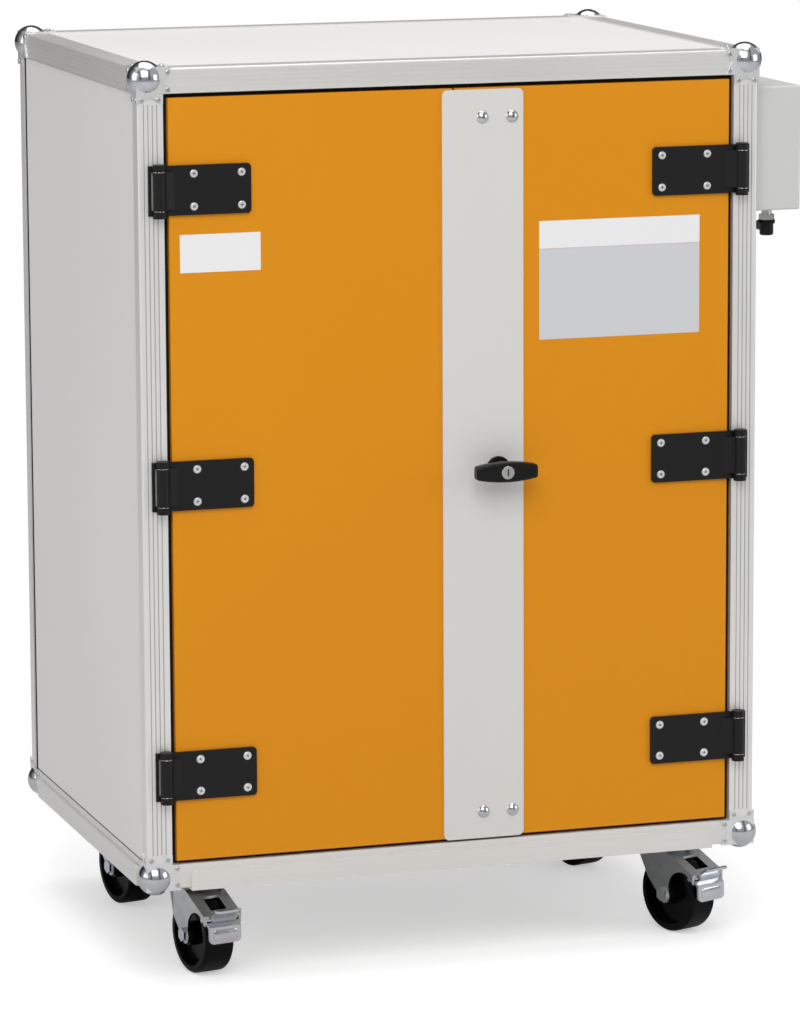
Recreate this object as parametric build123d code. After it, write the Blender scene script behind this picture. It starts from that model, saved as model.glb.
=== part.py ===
from build123d import *
import math
import os

# Battery charging cabinet. Millimetres, +Z up, front face towards -Y, floor at Z = 0.
# Every piece is modelled round the cabinet's own centre line. One move at the end puts
# the origin under the middle of the outer box.

# ---------------------------------------------------------------- cabinet frame
width = 800.0
depth = 600.0
frame_height = 1014.0
castor_height = 125.0
tray_thickness = 3.0

rail_face = 31.0            # face height of the rails
post_face = 32.0            # face width of the front posts
post_side = 22.0            # side flange of the front posts
flange = 30.0               # every other flange
core = 14.0                 # hollow core of an extrusion
wall = 2.0                  # wall of an extrusion
lip = 1.5                   # inner lip of a panel slot
nose_radius = 3.0
reveal_depth = 40.0         # depth of the door opening's side walls
groove_width = 1.2
groove_depth = 0.4
groove_pitch = 5.5
groove_count = 4

panel = 7.0                 # wall panels that sit in the slots
panel_play = 0.5            # play at a panel's edge
lining = 22.0               # insulating boards inside the walls

# ---------------------------------------------------------------- ball corners
ball_radius = 21.6
ball_inset = 13.0
corner_plate = 1.5
corner_reach = 43.0
corner_notch = 8.0
corner_side_leg = 21.0
corner_cut = 12.0
corner_play = 0.2

# ---------------------------------------------------------------- base tray
tray_flange = 25.0
tray_front_half = 344.0
tray_side_half = 255.0
tray_corner = 8.0

# ---------------------------------------------------------------- doors
door_panel = 9.0
door_lining = 30.0
gap_side = 6.0
gap_top = 5.4
gap_bottom = 4.3
meeting_gap = 3.0
lining_meeting = 5.0        # from the centre line to each door lining
lining_inset = 12.0         # from the door's edge to its lining
seal_width = 8.0
seal_depth = 6.0
seal_play = 0.6             # seal to the back of the door

# ---------------------------------------------------------------- hinges
hinge_below_top = 111.5      # upper hinge below the door's top edge
hinge_above_bottom = 107.6   # lower hinge above the door's bottom edge
hinge_axis_x = 376.0
hinge_axis_out = 9.0        # axis in front of the cabinet's face
knuckle_radius = 7.5
knuckle_height = 60.6
knuckle_middle = 47.0
knuckle_play = 0.4
pin_radius = 3.0
pin_fit = 0.05
pin_cap = 2.2
pin_cap_radius = 8.0
leaf_thickness = 4.0
leaf_inner_x = 259.5
leaf_corner = 5.0
leaf_play = 1.0             # door leaf to the frame's knuckles
foot_thickness = 3.0
foot_outer_x = 388.0
foot_strip_x = 384.4
leaf_screw_x = (271.5, 331.5)
leaf_screw_pitch_z = 40.0
screw_head = 5.2
screw_cone = 2.6
screw_core = 2.6

# ---------------------------------------------------------------- cover strip and lock
lock_x = 56.0
lock_z = 632.5
strip_left = -15.5
strip_right = 89.5
strip_thickness = 2.5
strip_margin_top = 1.9
strip_margin_bottom = 1.0
strip_corner = 7.0
bolt_offset_x = 19.2
bolt_below_top = 34.4       # upper bolts below the strip's top edge
bolt_above_bottom = 33.4    # lower bolts above the strip's bottom edge
bolt_head = 8.2
bolt_head_height = 4.4
bolt_shank = 4.0
bolt_hole = 4.3
bolt_end = 3.0              # bolt's end past its nut
nut_radius = 6.5
nut_thickness = 5.0
nut_seat = 1.5
guide_offset_z = 217.3
strip_screw_head = 5.5
strip_screw_cone = 2.2
strip_screw_shank = 2.0

rosette_radius = 15.0
rosette_thickness = 3.5
collar_radius = 12.5
collar_height = 4.0
handle_front = 39.5         # grip's front face in front of the strip
grip_length = 80.0
grip_height = 25.0
grip_end = 16.0
grip_thickness = 16.0
grip_round = 3.5
neck_radius = 10.5
handle_play = 0.3
cylinder_radius = 8.25
cylinder_fit = 0.06
cylinder_length = 24.0
cylinder_proud = 0.8
key_slot = 1.6
key_length = 9.0
key_depth = 10.0

gear_module = 1.5
gear_teeth = 16
gear_width = 6.0
pressure_angle = 20.0
backlash = 0.35
addendum = 1.2              # tooth above the pitch line
dedendum = 1.7              # tooth below the pitch line
spindle_radius = 5.0
spindle_fit = 0.06
spindle_hole = 8.0
rod_width = 12.0
rod_thickness = 6.0
rod_stand_off = 5.0         # from the door lining to the rod
rod_play = 0.3
rod_back = 8.5              # rack's back behind its pitch line
rod_jog = 46.0              # from the lock's axis to where the rod is back on centre
rod_rest_gap = 4.5          # from a rod's end to its strike plate at rest
case_wall = 2.5
case_half_width = 30.0
case_half_height = 48.0
guide_length = 18.0
guide_half_width = 28.0
guide_wall = 4.0
strike_thickness = 3.0
strike_play = 1.0
strike_margin = 12.0
pocket_depth = 13.0

# ---------------------------------------------------------------- inside
upright_width = 25.0
upright_depth = 12.0
upright_wall = 2.0
upright_front_y = -180.0
upright_back_y = 200.0
upright_margin = 18.0
slot_pitch = 50.0
slot_width = 6.0
slot_height = 20.0
shelf_heights = (392.0, 622.0, 852.0)
shelf_thickness = 1.5
shelf_lip = 26.0
shelf_front_y = -218.0
shelf_back_y = 232.0
shelf_side_play = 1.5
clip_thickness = 2.0
clip_depth = 16.0
clip_height = 22.0
vent_slot_length = 70.0
vent_slot_width = 10.0
socket_strip_length = 460.0
socket_strip_height = 54.0
socket_strip_depth = 42.0
socket_strip_above = 95.0
socket_radius = 19.5
socket_depth = 3.5
socket_count = 6
socket_pitch = 70.0
sensor_radius = 50.0
sensor_shoulder = 43.0
sensor_waist = 25.0
sensor_flare = 28.0
sensor_tip = 18.0
sensor_depths = (11.0, 15.0, 19.0, 30.0, 32.0, 40.0, 42.0)
sensor_y = -40.0

# ---------------------------------------------------------------- electrics box
box_front_y = -275.0
box_length = 200.0
box_below_top = 49.4        # box's top below the frame's top
box_height = 156.6
box_reach = 68.0            # from the cabinet's side to the lid's face
box_lid = 14.0
box_wall = 3.0
box_radius = 3.0
lid_screw_inset = 10.0
lid_screw_radius = 4.0
lid_screw_height = 1.5
connector_x = 443.0
connector_y = -225.0
stud_radius = 6.4
stud_length = 10.5
stud_inside = 8.0
nut_flats = 18.5
nut_height = 6.5
collar_nut_radius = 10.3
collar_nut_height = 5.0
plug_radius = 8.8
plug_length = 20.0
outlet_radius = 6.3
outlet_reach = 26.0
outlet_z = 10.0             # outlet's axis above the plug's lower end

# ---------------------------------------------------------------- castors
castor_x = 316.0
castor_y = 185.0
castor_turn = {"front_left": 11.0, "front_right": 21.0, "rear_left": 11.0, "rear_right": 15.0}
wheel_radius = 50.0
wheel_width = 40.0
wheel_web = 20.0
wheel_round = 5.0
hub_radius = 14.0
hub_width = 44.0
rim_inner = 38.0
trail = 38.0
axle_radius = 6.0
axle_fit = 0.06
axle_head = 9.0
axle_head_height = 4.5
fork_inner = 46.0
fork_sheet = 3.0
fork_top = 108.0
fork_bend_y = -8.0
fork_rear_y = 26.0
fork_rear_half = 15.0
fork_overrun = 40.0         # cutters of the fork past its ends
leg_tip = 11.5
hood_start = -40.0
hood_y = -94.0
hood_z = 84.2
hood_cheek = 12.0
hood_window_x = 22.0
hood_window_y = 26.0
hood_window_inset = 10.0    # from the hood's front edge to its window
plate_x = 105.0
plate_y = 85.0
plate_thickness = 4.0
plate_corner = 8.0
plate_hole_x = 80.0
plate_hole_y = 60.0
plate_hole_radius = 4.5
plate_bolt_play = 0.5
plate_bolt_flats = 13.0
plate_bolt_head = 5.3
race_inner = 20.0
race_outer = 31.0
race_height = 7.0
kingpin_radius = 6.0
kingpin_fit = 0.06
kingpin_head = 11.0
kingpin_head_height = 4.0
pedal_pivot_y = -87.0
pedal_pivot_z = 79.0
pedal_pivot_radius = 3.0
pedal_barrel = 4.5
pedal_sheet = 3.0
pedal_width = 44.0
lip_width = 34.0
pedal_side_play = 0.6

# ---------------------------------------------------------------- worked-out places
half_w = width / 2
half_d = depth / 2
tray_bottom = castor_height
frame_bottom = castor_height + tray_thickness
frame_top = frame_bottom + frame_height
frame_mid = (frame_bottom + frame_top) / 2
front = -half_d
slot_in = wall + panel                      # outer face to a panel's inner face
board_out = slot_in + lip                   # outer face to a board's outer face
board_in = board_out + lining               # outer face to a board's inner face
open_half = half_w - post_face              # door opening
open_bottom = frame_bottom + rail_face
open_top = frame_top - rail_face
door_bottom = open_bottom + gap_bottom
door_top = open_top - gap_top
door_edge = open_half - gap_side
panel_back = front + door_panel
lining_back = panel_back + door_lining
reveal_back = front + reveal_depth
cavity_half = half_w - board_in
cavity_bottom = frame_bottom + board_in
cavity_top = frame_top - board_in
cavity_back = half_d - board_in
hinge_axis_y = front - hinge_axis_out
hinge_low = door_bottom + hinge_above_bottom
hinge_high = door_top - hinge_below_top
hinge_heights = [hinge_low, (hinge_low + hinge_high) / 2, hinge_high]
box_bottom_z = frame_top - box_below_top - box_height
strip_front = front - strip_thickness
strip_bottom = door_bottom - strip_margin_bottom
strip_top = door_top - strip_margin_top
rod_front = lining_back + rod_stand_off
rod_back_y = rod_front + rod_thickness
rod_mid_y = (rod_front + rod_back_y) / 2
pitch_radius = gear_module * gear_teeth / 2
strike_top_face = cavity_top - strike_thickness
strike_bottom_face = cavity_bottom + strike_thickness
side_face = half_w - wall                   # outer face of the side walls
TOP = 1
BOTTOM = -1
bolt_heights = {BOTTOM: strip_bottom + bolt_above_bottom, TOP: strip_top - bolt_below_top}


def span(x0, x1, y0, y1, z0, z1):
    """A block between two corners."""
    centre = Pos((x0 + x1) / 2, (y0 + y1) / 2, (z0 + z1) / 2)
    return centre * Box(abs(x1 - x0), abs(y1 - y0), abs(z1 - z0))


def rect(u0, u1, v0, v1):
    """A rectangle between two corners of a section."""
    return Pos((u0 + u1) / 2, (v0 + v1) / 2) * Rectangle(u1 - u0, v1 - v0)


def outline(points):
    """A closed face through points of a sketch plane."""
    return make_face(Polyline(*points, close=True))


def rod_y(radius, y0, y1, x, z):
    """A round bar along Y."""
    middle = Pos(x, (y0 + y1) / 2, z) * Rot(90, 0, 0)
    return middle * Cylinder(radius, abs(y1 - y0))


def rod_x(radius, x0, x1, y, z):
    """A round bar along X."""
    middle = Pos((x0 + x1) / 2, y, z) * Rot(0, 90, 0)
    return middle * Cylinder(radius, abs(x1 - x0))


def rod_z(radius, z0, z1, x, y):
    """A round bar along Z."""
    return Pos(x, y, (z0 + z1) / 2) * Cylinder(radius, abs(z1 - z0))


def group(shapes):
    """Separate solids that share one node."""
    solids = []
    for shape in shapes:
        solids += shape.solids()
    return Compound(solids)


def flip_x(shape):
    return mirror(shape, about=Plane.YZ)


def flip_y(shape):
    return mirror(shape, about=Plane.XZ)


def flip_z(shape):
    """Mirror about the frame's middle height."""
    return mirror(shape, about=Plane.XY.offset(frame_mid))


def four_ways(shape):
    """The shape and its mirror images left-right and front-back."""
    pair = [shape, flip_x(shape)]
    return pair + [flip_y(item) for item in pair]


# ---------------------------------------------------------------- frame extrusions
def grooves(length):
    """Shallow decorative grooves along a face that lies on v = 0."""
    used = (groove_count - 1) * groove_pitch + groove_width
    start = (length - used) / 2
    cuts = Sketch()
    for n in range(groove_count):
        left = start + n * groove_pitch
        cuts += rect(left, left + groove_width, 0, groove_depth)
    return cuts


def nose(u_size, v_size):
    """Outer outline of a core, with its outer corner rounded."""
    block = rect(0, u_size, 0, v_size) - rect(0, nose_radius, 0, nose_radius)
    return block + Pos(nose_radius, nose_radius) * Circle(nose_radius)


def panel_slot(u_end):
    """Outer flange and inner lip that hold a panel, running out along u."""
    outer = rect(core, u_end, 0, wall)
    return outer + rect(core, u_end, slot_in, slot_in + lip)


def corner_section(first, second):
    """Edge extrusion with a panel slot along each of its two faces."""
    hollow = rect(wall, core - wall, wall, core - wall)
    section = nose(core, core) - hollow + panel_slot(first)
    other = mirror(panel_slot(second), about=Plane.YZ)
    section += Rot(0, 0, -90) * other
    return section - grooves(first)


def door_section(face, side):
    """Front extrusion: a wide face, one panel slot and the wall of the door opening."""
    hollow = rect(wall, face - wall, wall, core - wall)
    section = nose(face, core) - hollow
    other = mirror(panel_slot(side), about=Plane.YZ)
    section += Rot(0, 0, -90) * other
    section += rect(face - wall, face, core, reveal_depth)
    return section - grooves(face)


def corner_cube(size):
    """Cube at the frame's front left bottom corner."""
    return span(-half_w, -half_w + size, front, front + size, frame_bottom, frame_bottom + size)


def cut_ends(post, notch):
    """Take the ball corner's seat and a notch for the walls off both ends."""
    for cut in (corner_cube(corner_cut), notch):
        for y_side in (cut, flip_y(cut)):
            post -= y_side
            post -= flip_z(y_side)
    return post


def front_post():
    plane = Plane(origin=(-half_w, front, frame_bottom), x_dir=(1, 0, 0), z_dir=(0, 0, 1))
    post = extrude(plane * door_section(post_face, post_side), amount=frame_height)
    inner = -half_w + board_out + 0.1
    notch = span(inner, -open_half, front + core, reveal_back, frame_bottom, frame_bottom + board_in)
    return cut_ends(post, notch)


def rear_post():
    plane = Plane(origin=(-half_w, half_d, frame_top), x_dir=(1, 0, 0), z_dir=(0, 0, -1))
    post = extrude(plane * corner_section(flange, post_side), amount=frame_height)
    for cut in (flip_y(corner_cube(corner_cut)),):
        post -= cut
        post -= flip_z(cut)
    return post


def corner_posts():
    left = [front_post(), rear_post()]
    return group(left + [flip_x(post) for post in left])


def front_rail():
    plane = Plane(origin=(open_half, front, frame_bottom), x_dir=(0, 0, 1), z_dir=(-1, 0, 0))
    return extrude(plane * door_section(rail_face, flange), amount=2 * open_half)


def rear_rail():
    reach = half_w - flange
    plane = Plane(origin=(-reach, half_d, frame_bottom), x_dir=(0, 0, 1), z_dir=(1, 0, 0))
    return extrude(plane * corner_section(rail_face, flange), amount=2 * reach)


def side_rail():
    start = front + flange
    length = depth - 2 * flange
    plane = Plane(origin=(-half_w, start, frame_bottom), x_dir=(0, 0, 1), z_dir=(0, 1, 0))
    return extrude(plane * corner_section(rail_face, flange), amount=length)


def frame_rails():
    side = side_rail()
    lower = [front_rail(), rear_rail(), side, flip_x(side)]
    return group(lower + [flip_z(rail) for rail in lower])


# ---------------------------------------------------------------- ball corners
def corner_leg_plate(along_a, along_b):
    """Plate on one face of a corner: one notched leg along each of its two edges."""
    edge = -corner_plate
    reach = corner_reach
    dip = corner_reach - corner_notch
    points = [(edge, edge), (reach, edge), (dip, along_a / 2), (reach, along_a),
              (along_b, along_a), (along_b, reach), (along_b / 2, dip), (edge, reach)]
    return outline(points)


def ball_corner():
    """Pressed corner: a ball with notched legs on the three faces that meet there."""
    origin = (-half_w, front, frame_bottom)
    keep_out = span(-half_w, 0, front, 0, frame_bottom, frame_mid)
    keep_out -= corner_cube(corner_cut - corner_play)
    middle = Pos(-half_w + ball_inset, front + ball_inset, frame_bottom + ball_inset)
    corner = middle * Sphere(ball_radius) - keep_out
    plates = [
        (Plane(origin=origin, x_dir=(1, 0, 0), z_dir=(0, -1, 0)), rail_face, post_face, corner_plate),
        (Plane(origin=origin, x_dir=(0, 1, 0), z_dir=(1, 0, 0)), rail_face, corner_side_leg, -corner_plate),
        (Plane(origin=origin), flange, flange, -corner_plate),
    ]
    for plane, along_a, along_b, outward in plates:
        corner += extrude(plane * corner_leg_plate(along_a, along_b), amount=outward)
    return corner


def ball_corners():
    lower = four_ways(ball_corner())
    return group(lower + [flip_z(item) for item in lower])


# ---------------------------------------------------------------- walls and linings
def wall_inset():
    """Edge of a wall panel, measured in from the frame's outer face."""
    return core + panel_play


def side_panels():
    edge = wall_inset()
    left = span(-half_w + wall, -half_w + slot_in, front + edge, half_d - edge,
                frame_bottom + edge, frame_top - edge)
    return group([left, flip_x(left)])


def back_panel():
    edge = wall_inset()
    return span(-half_w + edge, half_w - edge, half_d - slot_in, half_d - wall,
                frame_bottom + edge, frame_top - edge)


def floor_panel():
    edge = wall_inset()
    return span(-half_w + edge, half_w - edge, front + edge, half_d - edge,
                frame_bottom + wall, frame_bottom + slot_in)


def top_panel():
    return flip_z(floor_panel())


def strike_pocket(side):
    """Hole in a lining board, behind the strike plate, that a rod's end runs into."""
    half = rod_width / 2 + 2 * strike_play
    y0 = rod_front - 2 * strike_play
    y1 = rod_back_y + 2 * strike_play
    face = cavity_top if side == TOP else cavity_bottom
    return span(lock_x - half, lock_x + half, y0, y1, face, face + side * pocket_depth)


def lining_boards():
    """Insulating boards on both sides, the back, the floor and the ceiling."""
    edge = wall_inset()
    side = span(-half_w + board_out, -cavity_half, reveal_back, half_d - edge,
                cavity_bottom, cavity_top)
    back = span(-cavity_half, cavity_half, cavity_back, half_d - board_out,
                cavity_bottom, cavity_top)
    floor = span(-half_w + edge, half_w - edge, reveal_back, half_d - edge,
                 frame_bottom + board_out, cavity_bottom)
    boards = [side, flip_x(side), back]
    boards += [floor - strike_pocket(BOTTOM), flip_z(floor) - strike_pocket(TOP)]
    return group(boards)


# ---------------------------------------------------------------- base tray
def tray_wall(half_length):
    """Upturned flange of the tray, its upper corners rounded, drawn on the XZ plane."""
    low = tray_bottom
    high = tray_bottom + tray_flange
    r = tray_corner
    side = Line((half_length, low), (half_length, high - r))
    arc = RadiusArc((half_length, high - r), (half_length - r, high), -r)
    top = Line((half_length - r, high), (-half_length + r, high))
    other_arc = RadiusArc((-half_length + r, high), (-half_length, high - r), -r)
    other = Line((-half_length, high - r), (-half_length, low))
    foot = Line((-half_length, low), (half_length, low))
    return make_face([side, arc, top, other_arc, other, foot])


def base_tray():
    """Folded steel tray under the frame, cut back at the four ball corners."""
    out_w = half_w + tray_thickness
    out_d = half_d + tray_thickness
    tray = span(-tray_front_half, tray_front_half, -out_d, out_d, tray_bottom, frame_bottom)
    tray += span(-out_w, out_w, -tray_side_half, tray_side_half, tray_bottom, frame_bottom)
    front_plane = Plane(origin=(0, -out_d, 0), x_dir=(1, 0, 0), z_dir=(0, -1, 0))
    front_wall = extrude(front_plane * tray_wall(tray_front_half), amount=-tray_thickness)
    side_plane = Plane(origin=(out_w, 0, 0), x_dir=(0, 1, 0), z_dir=(1, 0, 0))
    side_wall = extrude(side_plane * tray_wall(tray_side_half), amount=-tray_thickness)
    tray += front_wall
    tray += flip_y(front_wall)
    tray += side_wall
    tray += flip_x(side_wall)
    return tray


def frame_seal():
    """Foam seal round the door opening, behind the edges of the doors."""
    y0 = panel_back + seal_play
    y1 = y0 + seal_depth
    ring = span(-open_half, open_half, y0, y1, open_bottom, open_top)
    inner = open_half - seal_width
    ring -= span(-inner, inner, y0, y1, open_bottom + seal_width, open_top - seal_width)
    return ring


# ---------------------------------------------------------------- hinges (right-hand side)
def leaf_screw_places():
    """Screw places of every door leaf: x and z."""
    places = []
    for z in hinge_heights:
        for x in leaf_screw_x:
            for side in (BOTTOM, TOP):
                places.append((x, z + side * leaf_screw_pitch_z / 2))
    return places


def countersink(x, z, radius, core_radius, depth_in, face_y):
    """Conical screw head or its seat: flush with a face that looks towards -Y."""
    cone = Cone(radius, core_radius, depth_in)
    return Pos(x, face_y + depth_in / 2, z) * Rot(-90, 0, 0) * cone


def door_leaf(z):
    """Door leaf: a screwed plate that steps up to the middle knuckle."""
    face_y = front - leaf_thickness
    half = knuckle_height / 2
    shoulder = hinge_axis_x - knuckle_radius - leaf_play
    plate_plane = Plane(origin=(0, front, 0), x_dir=(1, 0, 0), z_dir=(0, -1, 0))
    r = leaf_corner
    low = z - half
    high = z + half
    line = Polyline((leaf_inner_x + r, low), (shoulder, low), (shoulder, high), (leaf_inner_x + r, high))
    arcs = RadiusArc((leaf_inner_x + r, high), (leaf_inner_x, high - r), -r)
    end = Line((leaf_inner_x, high - r), (leaf_inner_x, low + r))
    arc_low = RadiusArc((leaf_inner_x, low + r), (leaf_inner_x + r, low), -r)
    plate = extrude(plate_plane * make_face([line, arcs, end, arc_low]), amount=leaf_thickness)

    middle = knuckle_middle / 2 - knuckle_play
    section_plane = Plane(origin=(0, 0, z - middle), x_dir=(1, 0, 0), z_dir=(0, 0, 1))
    top_y = hinge_axis_y - knuckle_radius * math.sin(math.radians(70))
    top_x = hinge_axis_x - knuckle_radius * math.cos(math.radians(70))
    web = outline([(shoulder - 12.0, front), (shoulder - 12.0, face_y), (shoulder - 1.0, face_y - 4.0),
                   (top_x, top_y), (hinge_axis_x, hinge_axis_y), (hinge_axis_x - 6.0, hinge_axis_y + 4.0),
                   (shoulder, front)])
    web += Pos(hinge_axis_x, hinge_axis_y) * Circle(knuckle_radius)
    web -= Pos(hinge_axis_x, hinge_axis_y) * Circle(pin_radius + pin_fit)
    leaf = plate + extrude(section_plane * web, amount=2 * middle)
    for x in leaf_screw_x:
        for side in (BOTTOM, TOP):
            hole_z = z + side * leaf_screw_pitch_z / 2
            leaf -= countersink(x, hole_z, screw_head, screw_core, leaf_thickness, face_y)
    return leaf


def frame_leaf(z):
    """Frame leaf: a narrow foot on the post with a knuckle at each end."""
    half = knuckle_height / 2
    middle = knuckle_middle / 2
    left = hinge_axis_x - knuckle_radius
    plate_plane = Plane(origin=(0, front, 0), x_dir=(1, 0, 0), z_dir=(0, -1, 0))
    foot = rect(left, foot_outer_x, z - half, z + half)
    foot -= rect(left, foot_strip_x, z - middle, z + middle)
    leaf = extrude(plate_plane * foot, amount=foot_thickness)
    ring = Pos(hinge_axis_x, hinge_axis_y) * Circle(knuckle_radius)
    ring += rect(left, hinge_axis_x + knuckle_radius, hinge_axis_y, front)
    ring -= Pos(hinge_axis_x, hinge_axis_y) * Circle(pin_radius + pin_fit)
    for base in (z - half, z + middle):
        plane = Plane(origin=(0, 0, base), x_dir=(1, 0, 0), z_dir=(0, 0, 1))
        leaf += extrude(plane * ring, amount=half - middle)
    return leaf


def hinge_pin(z):
    """Hinge pin with a cap at each end."""
    half = knuckle_height / 2
    pin = rod_z(pin_radius, z - half, z + half, hinge_axis_x, hinge_axis_y)
    for low in (z - half - pin_cap, z + half):
        pin += rod_z(pin_cap_radius, low, low + pin_cap, hinge_axis_x, hinge_axis_y)
    return pin


def right_hinge_leaves():
    return group([door_leaf(z) for z in hinge_heights])


def right_hinge_screws():
    face_y = front - leaf_thickness
    heads = []
    for x, z in leaf_screw_places():
        heads.append(countersink(x, z, screw_head, screw_core, leaf_thickness, face_y))
    return group(heads)


def both_sides(shapes):
    return group(shapes + [flip_x(item) for item in shapes])


# ---------------------------------------------------------------- doors
def door_blank(x0, x1):
    """Outer door board with its front edges eased."""
    board = span(x0, x1, front, panel_back, door_bottom, door_top)
    edges = board.faces().sort_by(Axis.Y)[0].edges()
    return chamfer(edges, 1.0)


def strip_bolt_places():
    places = []
    for x_side in (-1, 1):
        for z_side in (BOTTOM, TOP):
            places.append((lock_x + x_side * bolt_offset_x, bolt_heights[z_side]))
    return places


def strip_screw_places():
    return [(lock_x, lock_z + side * guide_offset_z) for side in (BOTTOM, TOP)]


def lock_holes(spindle, y0, y1):
    """Holes through the right door for the spindle, the bolts and the guide screws."""
    holes = [rod_y(spindle, y0, y1, lock_x, lock_z)]
    holes += [rod_y(bolt_hole, y0, y1, x, z) for x, z in strip_bolt_places()]
    holes += [rod_y(strip_screw_shank + 0.1, y0, y1, x, z) for x, z in strip_screw_places()]
    return group(holes)


def right_door_panel():
    return door_blank(meeting_gap / 2, door_edge) - lock_holes(spindle_hole, front, panel_back)


def left_door_panel():
    return flip_x(door_blank(meeting_gap / 2, door_edge))


def lining_blank():
    return span(lining_meeting, door_edge - lining_inset, panel_back, lining_back,
                door_bottom + lining_inset, door_top - lining_inset)


def right_door_lining():
    return lining_blank() - lock_holes(spindle_hole, panel_back, lining_back)


def left_door_lining():
    return flip_x(lining_blank())


def cover_strip():
    """Metal strip on the right door that laps over the left door."""
    middle_x = (strip_left + strip_right) / 2
    middle_z = (strip_bottom + strip_top) / 2
    plane = Plane(origin=(middle_x, front, middle_z), x_dir=(1, 0, 0), z_dir=(0, -1, 0))
    sheet = RectangleRounded(strip_right - strip_left, strip_top - strip_bottom, strip_corner)
    strip = extrude(plane * sheet, amount=strip_thickness)
    strip -= lock_holes(spindle_hole, strip_front, front)
    for x, z in strip_screw_places():
        strip -= countersink(x, z, strip_screw_head, strip_screw_shank + 0.1, strip_screw_cone, strip_front)
    return strip


# ---------------------------------------------------------------- rod guides and their fixings
def guide_end_y():
    return rod_back_y + rod_play + guide_wall


def rod_guide(z):
    """Moulded bridge that holds a rod on the back of the door."""
    side_y = rod_front - rod_play
    inner = rod_width / 2 + rod_play
    shoulder = inner + guide_wall
    foot_y = lining_back + rod_stand_off - 1.0
    points = [(-guide_half_width, lining_back), (guide_half_width, lining_back),
              (guide_half_width, foot_y), (shoulder, guide_end_y()),
              (-shoulder, guide_end_y()), (-guide_half_width, foot_y)]
    plane = Plane(origin=(lock_x, 0, z - guide_length / 2), x_dir=(1, 0, 0), z_dir=(0, 0, 1))
    section = outline(points) - rect(-inner, inner, side_y, rod_back_y + rod_play)
    return extrude(plane * section, amount=guide_length)


def guide_heights():
    inner = [lock_z + side * guide_offset_z for side in (BOTTOM, TOP)]
    return [bolt_heights[BOTTOM], bolt_heights[TOP]] + inner


def nut_face():
    """Y of the flat that a bolt's nut is tightened on."""
    return lining_back + rod_stand_off + nut_seat


def rod_guides():
    guides = []
    for z in guide_heights():
        guide = rod_guide(z)
        for x, bolt_z in strip_bolt_places():
            if abs(bolt_z - z) < guide_length:
                guide -= rod_y(bolt_hole, lining_back, guide_end_y(), x, bolt_z)
                guide -= rod_y(bolt_head, nut_face(), guide_end_y(), x, bolt_z)
        guide -= rod_y(strip_screw_shank + 0.1, lining_back, rod_front - rod_play, lock_x, z)
        guides.append(guide)
    return group(guides)


def dome(radius, height):
    """Low domed head, standing on z = 0."""
    ball = (radius * radius + height * height) / (2 * height)
    half_angle = math.asin(radius / ball) / 2
    middle = (ball * math.sin(half_angle), ball * math.cos(half_angle) - ball + height)
    rise = ThreePointArc((radius, 0), middle, (0, height))
    face = make_face([rise, Line((0, height), (0, 0)), Line((0, 0), (radius, 0))])
    return revolve(Plane.XZ * face, axis=Axis.Z)


def strip_bolt(x, z):
    """Dome-head bolt through strip, door and guide, with its nut."""
    head = Pos(x, strip_front, z) * Rot(90, 0, 0) * dome(bolt_head, bolt_head_height)
    end = nut_face() + nut_thickness + bolt_end
    bolt = head + rod_y(bolt_shank, strip_front, end, x, z)
    nut_plane = Plane(origin=(x, nut_face(), z), x_dir=(1, 0, 0), z_dir=(0, 1, 0))
    nut = extrude(nut_plane * RegularPolygon(nut_radius, 6, major_radius=False), amount=nut_thickness)
    return [bolt, nut - rod_y(bolt_shank, strip_front, end, x, z)]


def strip_bolts():
    pieces = []
    for x, z in strip_bolt_places():
        pieces += strip_bolt(x, z)
    return group(pieces)


def strip_screws():
    screws = []
    for x, z in strip_screw_places():
        head = countersink(x, z, strip_screw_head, strip_screw_shank, strip_screw_cone, strip_front)
        screws.append(head + rod_y(strip_screw_shank, strip_front + 0.5, rod_front - rod_play, x, z))
    return group(screws)


# ---------------------------------------------------------------- handle and lock
def handle_rosette():
    """Round plate and collar that the handle turns in."""
    bore = spindle_radius + spindle_fit
    points = [(bore, 0), (rosette_radius, 0), (rosette_radius, rosette_thickness - 1.0),
              (rosette_radius - 1.0, rosette_thickness), (collar_radius, rosette_thickness),
              (collar_radius, rosette_thickness + collar_height), (bore, rosette_thickness + collar_height)]
    ring = revolve(Plane.XZ * outline(points), axis=Axis.Z)
    return Pos(lock_x, strip_front, lock_z) * Rot(90, 0, 0) * ring


def grip_outline():
    """Front view of the grip: deeper in the middle, rounded at both ends."""
    half = grip_length / 2
    end = grip_end / 2
    middle = grip_height / 2
    top = ThreePointArc((-half, end), (0, middle), (half, end))
    right = Line((half, end), (half, -end))
    low = ThreePointArc((half, -end), (0, -middle), (-half, -end))
    left = Line((-half, -end), (-half, end))
    shape = make_face([top, right, low, left])
    return fillet(shape.vertices(), grip_end / 4)


def t_handle():
    """T-shaped grip with its neck, bored for the lock cylinder."""
    front_y = strip_front - handle_front
    plane = Plane(origin=(lock_x, front_y, lock_z), x_dir=(1, 0, 0), z_dir=(0, -1, 0))
    grip = extrude(plane * grip_outline(), amount=-grip_thickness)
    rims = grip.edges().group_by(Axis.Y)
    grip = fillet(rims[0] + rims[-1], grip_round)
    neck_back = strip_front - rosette_thickness - collar_height - handle_play
    grip += rod_y(neck_radius, front_y + 4.0, neck_back, lock_x, lock_z)
    bore_end = front_y + cylinder_length
    grip -= rod_y(cylinder_radius + cylinder_fit, front_y - 1.0, bore_end, lock_x, lock_z)
    return grip


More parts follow.
